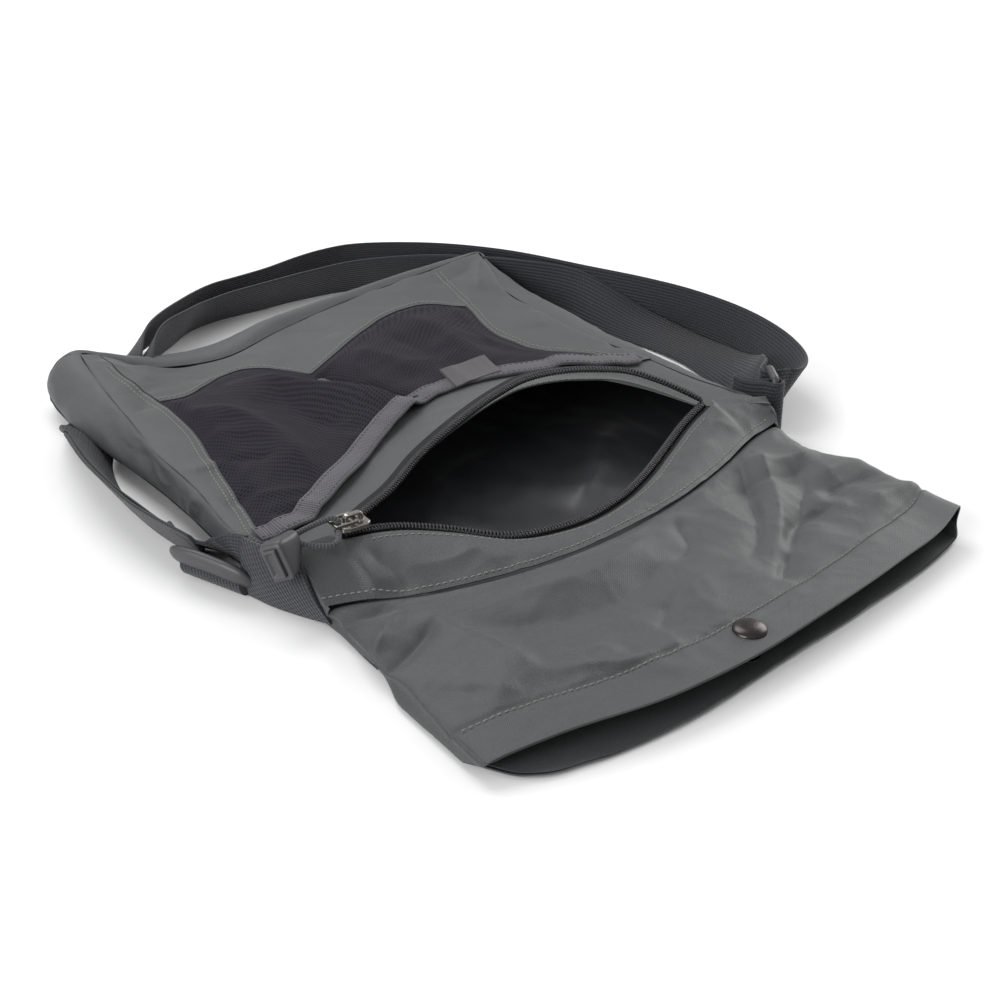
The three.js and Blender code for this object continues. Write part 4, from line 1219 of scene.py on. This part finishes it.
def neck_front(start_y, end_y, rows, start):
    """The front layer between two lines across the neck; it rounds down into the side folds."""
    x, y = patch(start_y, end_y, LEFT_EDGE, RIGHT_EDGE, rows, NECK_COLUMNS, start, 6)
    side = np.minimum(x - LEFT_EDGE(y), RIGHT_EDGE(y) - x)
    return np.stack([x, y, neck_z(x, y) - 1.5 * np.exp(-side / 2.5)], axis=2)


def neck_ring(rows):
    """Front layer from left to right, right wall, back layer from right to left, and left wall."""
    across = np.linspace(0, 1, NECK_COLUMNS)[None, :]
    share = np.linspace(0, 1, rows)[:, None]
    front = neck_front(lambda x: NECK_JOIN_Y + 0 * x, lambda x: FRONT_LIP(x)[..., 0], rows, (-116.0, 118.0))
    back_left = lerp(-110.5, -116.0, smooth(2.5 * share))
    back_right = lerp(118.0, 122.0, smooth(1.5 * share))
    bx = lerp(back_left, back_right, across) + 0 * share
    by = lerp(NECK_JOIN_Y, BACK_LIP(bx)[..., 0], share)
    bz = 1.0 + 0.5 * (1 + crumple(bx, by, 32, 19))
    back = np.stack([bx, by, bz], axis=2)
    right = wall(front[:, -1], back[:, -1], 1.0)[:, 1:-1]
    left = wall(front[:, 0], back[:, 0], -1.0)[:, 1:-1]
    return np.concatenate([front, right, back[:, ::-1], left[:, ::-1]], axis=1)


def tube(name, grid, looks, thickness, flip=False):
    """A cloth tube through rings of points."""
    rows, around = grid.shape[:2]
    uv = np.stack([lengths_along(grid, 1), -grid[..., 1]], axis=2)
    faces = grid_faces(rows, around, True)
    if flip:
        faces = [f[::-1] for f in faces]
    index = np.arange(rows * around).reshape(rows, around)
    rim = np.concatenate([index[0], index[-1]])
    obj = make_object(name, grid.reshape(-1, 3), faces, looks, uv.reshape(-1, 2), rim)
    return thicken(obj, thickness, True)


def build_hem_lining(grid):
    """The outer cloth folded in round the mouth: a band lying against the inner face of the tube."""
    band = grid[int(0.75 * len(grid)):].copy()
    middle = band.mean(axis=1, keepdims=True)
    inset = CLOTH + 0.5
    band[..., 2] += np.clip(middle[..., 2] - band[..., 2], -inset, inset)
    band[..., 0] += np.clip(0.02 * (middle[..., 0] - band[..., 0]), -inset, inset)
    lining = tube("hem_lining", band, [LOOKS["nylon"]], 0.3)
    hold(lining, MOUTH, slot="body_cloth")


def build_collar():
    """The part of the neck that stays with the body, with its side folds reaching down to the back panel."""
    front = neck_front(lambda x: FACING_SEAM(x)[..., 0], lambda x: NECK_JOIN_Y, 40, (-115.0, 115.0))

    def foot(edge, x_at):
        point = edge.copy()
        point[:, 0] = x_at
        point[:, 2] = back_z(point[:, 0], point[:, 1])
        return point
    left = wall(front[:, 0], foot(front[:, 0], -110.5), -1.0)[:, 1:]
    right = wall(front[:, -1], foot(front[:, -1], 117.5), 1.0)[:, 1:]
    collar = np.concatenate([left[:, ::-1], front, right], axis=1)
    uv = np.stack([lengths_along(collar, 1), -collar[..., 1]], axis=2)
    obj = sheet("neck_collar", collar, [LOOKS["nylon"], LOOKS["coated"]], CLOTH, uv, flip=True)
    hold(obj, NECK_FOLD, "neck_collar", slot="body_cloth")


def build_neck():
    grid = neck_ring(84)
    neck = tube("neck_tube", grid, [LOOKS["nylon"], LOOKS["coated"]], CLOTH, flip=True)
    hold(neck, MOUTH, "neck_front", "neck_back", slot="body_cloth")
    build_hem_lining(grid)
    build_collar()

    points = [(px, float(FRONT_LIP(px)[0]) + HEM - 1.2) for px in np.linspace(-113, 116, 26)]
    line, normals = surface_path(points, neck_z)
    stitch_row("stitching_hem", line + 0.3 * normals, normals, MOUTH)


def build_snap():
    base = float(neck_z(np.array(SNAP_X), np.array(SNAP_Y))) - 1.0
    top = base + 0.1
    radius = (SNAP_HIGH[0] - SNAP_LOW[0]) / 2
    arc = np.linspace(0, math.pi / 2, 12)
    spread = [radius * math.cos(a) ** 0.85 if a < math.pi / 2 else 0.0 for a in arc]
    dome = [(wide, top + 0.6 + 2.1 * math.sin(a)) for wide, a in zip(spread, arc)]
    profile = [
        (0.0, top - 2.2), (2.2, top - 2.2), (2.2, top), (radius - 0.9, top),
        (radius - 0.2, top + 0.15), (radius, top + 0.6), *dome[1:],
    ]
    cap = lathe("snap_cap", profile, SNAP_X, SNAP_Y, [LOOKS["snap"]])
    hold(cap, "neck_mouth", "snap_cap", slot="snap_metal")
    for node in ("snap_socket", "snap_stud", "snap_post"):
        dress(node, LOOKS["snap"], 0.25)


def dress(node, look, bevel):
    """Gives a carried-over CAD node its material and soft edges."""
    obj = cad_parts[node]
    obj.data.materials.clear()
    obj.data.materials.append(look)
    weld(obj)
    soften(obj, bevel)
    return obj


# ---- slider and cord -------------------------------------------------------------------------
def loft(name, places, shapes, looks):
    """A closed body through outlines set one after another along X; each shape is a list of (y, z)."""
    grid = np.array([[(x, y, z) for y, z in shape] for x, shape in zip(places, shapes)], float)
    rows, cols = grid.shape[:2]
    faces = [f[::-1] for f in grid_faces(rows, cols, True)]
    faces.append(tuple(range(cols)))
    faces.append(tuple((rows - 1) * cols + j for j in range(cols))[::-1])
    uv = np.stack([grid[..., 1], grid[..., 2]], axis=2)
    return make_object(name, grid.reshape(-1, 3), faces, looks, uv.reshape(-1, 2))


def turned_box(half_long, half_short, corner, centre, angle):
    """A round-cornered outline in the (y, z) plane with its long side leaning by an angle from upright."""
    outline = soft_box(half_long, half_short, corner, 5)
    turn = math.radians(angle)
    long_way = np.array([-math.sin(turn), -math.cos(turn)])
    short_way = np.array([math.cos(turn), -math.sin(turn)])
    return np.array(centre) + outline[:, :1] * long_way + outline[:, 1:] * short_way


END_LOW, END_HIGH = box_mm("cord_end")
END_LEAN = 24.0
END_TURN = 30.0


def end_sections(outer_x):
    """Rows of (x, half length, half width, corner, centre y, centre z) of the moulded cord end."""
    return [
        (outer_x, 6.7, 4.3, 1.6, -87.0, 27.0), (outer_x + 0.5, 7.2, 4.8, 1.8, -87.0, 27.0),
        (outer_x + 1.6, 7.5, 5.1, 1.9, -87.0, 27.1), (outer_x + 4.4, 7.4, 5.0, 2.4, -86.9, 27.3),
        (outer_x + 7.4, 6.4, 4.5, 2.8, -86.7, 27.8), (outer_x + 10.4, 5.2, 3.8, 2.8, -86.5, 28.4),
        (outer_x + 13.2, 4.3, 3.2, 2.6, -86.3, 29.1), (outer_x + 14.6, 3.6, 2.7, 2.2, -86.1, 29.5),
        (outer_x + 15.2, 2.6, 1.9, 1.6, -86.0, 29.6),
    ]


def turned(obj):
    """Turns a piece about the upright line through the cord end's tip, so its plug looks toward the mouth."""
    tip = Vector((END_HIGH[0] + 1.0, -85.0, 0)) * METRES
    turn = Matrix.Rotation(math.radians(END_TURN), 4, "Z")
    shift = Matrix.Translation(Vector((-6.0, 3.0, 0)) * METRES)
    obj.data.transform(shift @ Matrix.Translation(tip) @ turn @ Matrix.Translation(-tip))
    return obj


def build_cord_end():
    rows = end_sections(END_LOW[0])
    shapes = [turned_box(a, b, min(c, b - 0.2), (y, z), END_LEAN) for _, a, b, c, y, z in rows]
    body = turned(loft("cord_end", [row[0] for row in rows], shapes, [LOOKS["plastic"]]))
    smooth_body(body, 1)
    hold(body, "cord", "cord_end", slot="strap_plastic")
    face = END_LOW[0] - 0.9
    places = [face + 1.2, face - 0.3, face - 0.6, face - 0.6, face + 0.3, face + 0.3]
    sizes = [(5.6, 2.9), (5.6, 2.9), (5.4, 2.7), (4.5, 1.9), (4.2, 1.7), (3.5, 1.0)]
    shapes = [turned_box(a, b, 0.5, (-87.0, 27.0), END_LEAN) for a, b in sizes]
    plug = turned(loft("cord_end_plug", places[::-1], shapes[::-1], [LOOKS["plastic"]]))
    hold(plug, "cord", "cord_end_plug", slot="strap_plastic")


def build_pull():
    dress("zip_slider", LOOKS["slider"], 0.55)
    dress("zip_puller", LOOKS["slider"], 0.45)
    build_cord_end()
    loop = path_through([
        (-112.5, -82.6, 30.0), (-106, -81.6, 30.7), (-99.5, -82.4, 32.0), (-96.2, -83.4, 32.6),
        (-94.6, -84.6, 31.6), (-95.2, -85.6, 29.6), (-97.2, -89.6, 28.8), (-101, -93.6, 28.2),
        (-106.5, -91.6, 28.2), (-112.5, -86.2, 28.8),
    ], 0.4)
    cord = swept("pull_cord", loop, round_section(1.1, 10), (0.1, 0.2, 1.0), [LOOKS["cord"]])
    hold(cord, "cord", "pull_cord", slot="cord")


# ---- strap -----------------------------------------------------------------------------------
WEB_WIDTH = 24.6
WEB_THICKNESS = 1.4


# Rows of (x, y, z) and the lean of the webbing's width in degrees: 0 stands up, 90 lies flat with the
# top edge outward, -90 flat with the top edge inward and -180 stands upside down.
OUTER_LAYER = [
    (-121.8, -66, 12.6, -180), (-121.4, -59, 11.6, -164), (-121.0, -52, 10.2, -142),
    (-122.0, -45, 9.2, -130), (-126.2, -35, 8.8, -128), (-131.5, -23, 9.8, -139), (-135, -10, 10.8, -146),
    (-136.5, 6, 10.9, -147), (-136.3, 30, 10.9, -147), (-134.2, 46, 10.7, -145), (-131, 60, 10.2, -139),
    (-124, 80, 6.6, -115), (-112, 100, 1.6, -92), (-100, 116, 1.6, -90), (-89, 130, 4.2, -74),
    (-78, 142, 8.6, -50), (-65, 153.5, 11.8, -32), (-37, 173, 11.8, -31), (-17, 181.5, 11.8, -30),
    (0, 183.5, 11.8, -30), (16, 185.5, 11.8, -30), (38, 190, 12, -29), (54, 191, 12.2, -28),
    (72, 187, 12.6, -26), (104, 162, 13.2, -20), (129, 126, 13.6, -10), (148.5, 80, 13.6, 0),
    (162, 52, 13.6, -3), (171, 28, 13.6, -6), (174.5, 2, 13.6, -2), (173, -20, 13.4, 8),
    (167, -43, 13.0, 22), (158, -59, 13.2, 30), (148.5, -67.5, 13.8, 28), (141.5, -70.6, 14.4, 16),
    (137.5, -71.9, 15, 4), (134.5, -71.6, 15, 0), (131.9, -70.6, 15, 0), (130.5, -68.4, 15, 0),
    (131.2, -66, 15, 0), (133.4, -64.4, 15, 0),
]
INNER_LAYER = [
    (138.5, -60, 14.6, 6), (144, -47, 11.8, 30), (150.5, -32, 7.7, 57), (155, -16, 4.6, 74),
    (157.5, 1, 3.2, 81), (157, 16, 2.9, 83), (155, 30, 3.4, 79), (150, 48, 5.4, 68), (145, 66, 9.2, 47),
    (140, 84, 12.3, 20), (131.5, 102, 13, 0), (118, 124, 12.8, -12), (95, 150, 12.2, -22),
    (62, 169.5, 11.4, -31), (34, 172.5, 11.2, -34), (10, 172, 11, -35), (-12, 171.5, 10.8, -37),
    (-27, 167.5, 11.0, -37), (-44, 156.5, 11.8, -30), (-61, 145, 12.3, -27), (-75, 134.5, 9.0, -48),
    (-88, 121.5, 4.2, -76), (-100, 109, 3.2, -90), (-114, 94, 3.4, -95), (-125.5, 77, 8.6, -117),
    (-132.6, 60, 11.4, -139),
]
INNER_END = [
    (-132.6, 60, 11.4, -139), (-136.0, 46, 11.8, -145), (-138.1, 30, 11.9, -147), (-138.3, 6, 11.9, -147),
    (-137.0, -10, 11.4, -146), (-134.5, -22, 10.8, -146), (-131.5, -33, 10.2, -146), (-129.0, -42, 9.6, -146),
]
# The sewn end as two edges, lower and upper, from the facing's seam back along the side wall.
SEWN_END = (
    [(-110.0, -105.6, 4.4), (-114.4, -91, 2.0), (-119.2, -77.5, 1.2), (-122.2, -66, 1.0)],
    [(-112.6, -88.4, 24.4), (-116.6, -81, 25.2), (-120.2, -73, 24.8), (-122.2, -64, 24.2)],
)
STRAP_RUN = ("strap", "adjuster", (0, 52, 0), (0, -24, 0))


def with_midpoints(ring):
    """A closed outline with one more point in the middle of each side."""
    count = len(ring)
    return np.vstack([lerp(ring[i], ring[(i + 1) % count], s) for i in range(count) for s in (0.0, 0.5)])


def webbing(name, rows, body, *nodes, width=WEB_WIDTH, slot="webbing"):
    table = np.array(rows, float)
    path = path_through(table, 1.6)
    centre, lean = path[:, :3], np.radians(path[:, 3])
    hint = strap_width_direction(centre, lean)
    section = soft_box(width / 2, WEB_THICKNESS / 2, 0.6, 3)
    obj = swept(name, centre, with_midpoints(section), hint, [LOOKS["webbing"]])
    return hold(obj, body, *nodes, slot=slot)


def strap_width_direction(centre, lean):
    """The width leans away from the path's own outer side."""
    along = np.gradient(centre, axis=0)
    flat = np.column_stack([along[:, 1], -along[:, 0], 0 * lean])
    flat /= np.linalg.norm(flat, axis=1)[:, None]
    outward = np.sign((flat * centre).sum(1))[:, None]
    flat = flat * outward
    return flat * np.sin(lean)[:, None] + np.column_stack([0 * lean, 0 * lean, np.cos(lean)])


def build_ring():
    """A flat loop of plastic standing on edge: two posts joined by round corners."""
    low, high = box_mm("strap_ring")
    near, far = np.array([127.0, -80.0]), np.array([134.0, -68.0])
    top, bottom, corner = high[2] - 1.9, low[2] + 1.9, 2.6
    span = np.linalg.norm(far - near)
    outline = soft_box(span / 2, (top - bottom) / 2, corner, 6)
    along = (far - near) / span
    middle = (near + far) / 2
    path = np.array([(*(middle + along * u), (top + bottom) / 2 + v) for u, v in outline])
    path = with_midpoints(path)
    across = np.array([along[1], -along[0], 0.0])
    ring = swept("strap_ring", path, round_section(1.75, 12, 0.9), across, [LOOKS["plastic"]], closed=True)
    hold(ring, "ring", "strap_ring", slot="strap_plastic")


def build_adjuster():
    """A smooth bar-shaped buckle lying across the webbing, with the webbing's end wrapped under it."""
    left, right = np.array([-138.8, -35.0, 9.8]), np.array([-122.9, -70.0, 8.2])
    path = np.array([lerp(left, right, s) for s in np.linspace(0, 1, 40)])
    share = np.linspace(-1, 1, 40)
    path[:, 2] += 1.2 * (1 - share**2)
    taper = np.clip(1.06 - 0.3 * np.abs(share) ** 2 - 0.6 * np.abs(share) ** 12, 0.12, 1)
    section = [
        (6.6, -1.2), (7.4, 0.3), (6.6, 2.2), (3.0, 3.6), (-1.4, 3.8), (-5.0, 2.8), (-6.8, 0.8),
        (-6.4, -1.2), (-2.6, -2.2), (2.6, -2.2),
    ]
    slope = (-0.5, -0.3, 0.8)
    bar = swept("strap_adjuster", path, section, slope, [LOOKS["plastic"]], scale=taper)
    smooth_body(bar)
    hold(bar, "adjuster", "strap_adjuster", slot="strap_plastic")

    start, end = lerp(left, right, 0.1), lerp(left, right, 0.86)
    roll = np.array([lerp(start, end, s) for s in np.linspace(0, 1, 30)]) + np.array([1.6, -0.4, -4.2])
    outline = [
        (4.6, -0.6), (4.9, 1.2), (3.2, 3.0), (0, 3.6), (-3.2, 3.0), (-4.6, 1.2), (-4.2, -0.8),
        (-2.0, -2.6), (2.4, -2.6),
    ]
    wrap = swept("strap_end_loop", roll, outline, slope, [LOOKS["webbing_across"]])
    smooth_body(wrap)
    hold(wrap, "adjuster", "strap_end_loop", slot="webbing")

    back = np.array([(-131.5, -16.0, 10.5), (-130.8, -21.0, 8.4), (-129.5, -28.0, 6.6), (-127.0, -36.0, 6.2)])
    arm = swept("adjuster_back_bar", path_through(back, 0.8), round_section(1.9, 12, 0.75), (0, 0, 1.0),
                [LOOKS["plastic"]])
    hold(arm, "adjuster")


def smooth_body(obj, levels=2):
    rounding = obj.modifiers.new("rounding", "SUBSURF")
    rounding.levels = levels
    rounding.render_levels = levels


def build_sewn_end():
    """The webbing's fixed end, sewn to the side wall; its cut edge slants along the facing's seam."""
    lower, upper = (path_through(edge, 0.5) for edge in SEWN_END)
    share = np.linspace(0, 1, 44)
    lower, upper = (np.array([edge[int(s * (len(edge) - 1))] for s in share]) for edge in (lower, upper))
    across = np.linspace(0, 1, 18)[:, None, None]
    grid = lerp(lower[None], upper[None], across)
    grid[..., 0] -= 1.8 * np.sin(math.pi * across[..., 0])
    uv = np.stack([lengths_along(grid, 1), lengths_along(grid, 0)], axis=2)
    obj = sheet("strap_sewn_end", grid, [LOOKS["webbing"]], WEB_THICKNESS, uv)
    hold(obj, "pouch_body", slot="webbing")


def build_strap():
    webbing("shoulder_strap", OUTER_LAYER + INNER_LAYER, "strap", "shoulder_strap")
    build_sewn_end()
    webbing("strap_inner_run", INNER_END, STRAP_RUN)
    near = np.array([127.0, -80.0])
    radius = 3.25
    side, start, mid = 119.6, -61.0, 12.9
    tab = [(side, start, mid, 0), (side, start - 6, mid, 0), (side + 1.4, start - 12, 13.6, 0),
           (side + 3.6, start - 17, 14.6, 0)]
    tab += [(near[0] + radius * math.cos(a), near[1] + radius * math.sin(a), 15, 0)
            for a in np.linspace(-math.pi, math.pi * 0.5, 10)]
    tab += [(side + 5.0, start - 14, 14.4, 0), (side + 3.1, start - 10, 13.6, 0),
            (side + 1.8, start - 5, mid, 0), (side + 1.8, start, mid, 0)]
    webbing("ring_tab", tab, "strap", "ring_tab")
    build_ring()
    build_adjuster()


# ---- room ------------------------------------------------------------------------------------
def build_stage():
    bpy.ops.mesh.primitive_plane_add(size=12, location=(0, 0, 0))
    floor = bpy.context.object
    floor.name = "floor"
    g = Graph("floor_paper", (0.9, 0.9, 0.9), 0.9)
    g.shade(g.speckle(g.object_point(), 3.0, 2.0), 0.995, 1.0)
    floor.data.materials.append(g.material)

    world = bpy.data.worlds.new("studio")
    world.use_nodes = True
    world.node_tree.nodes["Background"].inputs[0].default_value = (1, 1, 1, 1)
    world.node_tree.nodes["Background"].inputs[1].default_value = 0.55
    bpy.context.scene.world = world
    add_light("key", (0.0, 0.9, 1.2), 0.9, 10)
    add_light("left", (-1.25, -0.3, 0.55), 0.9, 15)
    add_light("right", (1.2, 0.2, 0.6), 0.8, 9)


def add_light(name, place, size, power):
    data = bpy.data.lights.new(name, "AREA")
    data.size = size
    data.energy = power
    light = bpy.data.objects.new(name, data)
    light.location = place
    light.rotation_mode = "QUATERNION"
    light.rotation_quaternion = Vector(-np.array(place)).to_track_quat("-Z", "Y")
    bpy.context.scene.collection.objects.link(light)


LENS = 60.8
CAMERA_PLACE = (-0.355, -0.556, 0.332)  # metres
CAMERA_AZIMUTH, CAMERA_PITCH = -35.2, 28.6


def build_camera():
    data = bpy.data.cameras.new("camera")
    data.lens = LENS
    data.sensor_width = 36
    camera = bpy.data.objects.new("camera", data)
    camera.location = CAMERA_PLACE
    azimuth, pitch = math.radians(CAMERA_AZIMUTH), math.radians(CAMERA_PITCH)
    level = math.cos(pitch)
    look = Vector((-math.sin(azimuth) * level, math.cos(azimuth) * level, -math.sin(pitch)))
    camera.rotation_mode = "QUATERNION"
    camera.rotation_quaternion = look.to_track_quat("-Z", "Y")
    bpy.context.scene.collection.objects.link(camera)
    bpy.context.scene.camera = camera
    bpy.context.scene.view_settings.view_transform = "Standard"


build_back()
build_gusset()
build_front_panel()
build_side_strip("front_strip_left", LEFT_SEAM, -1)
build_side_strip("front_strip_right", RIGHT_SEAM, 1)
build_yoke()
build_mesh()
build_binding()
build_label_tab()
build_zip()
build_facing()
build_neck()
build_snap()
build_pull()
build_strap()
build_stage()
build_camera()
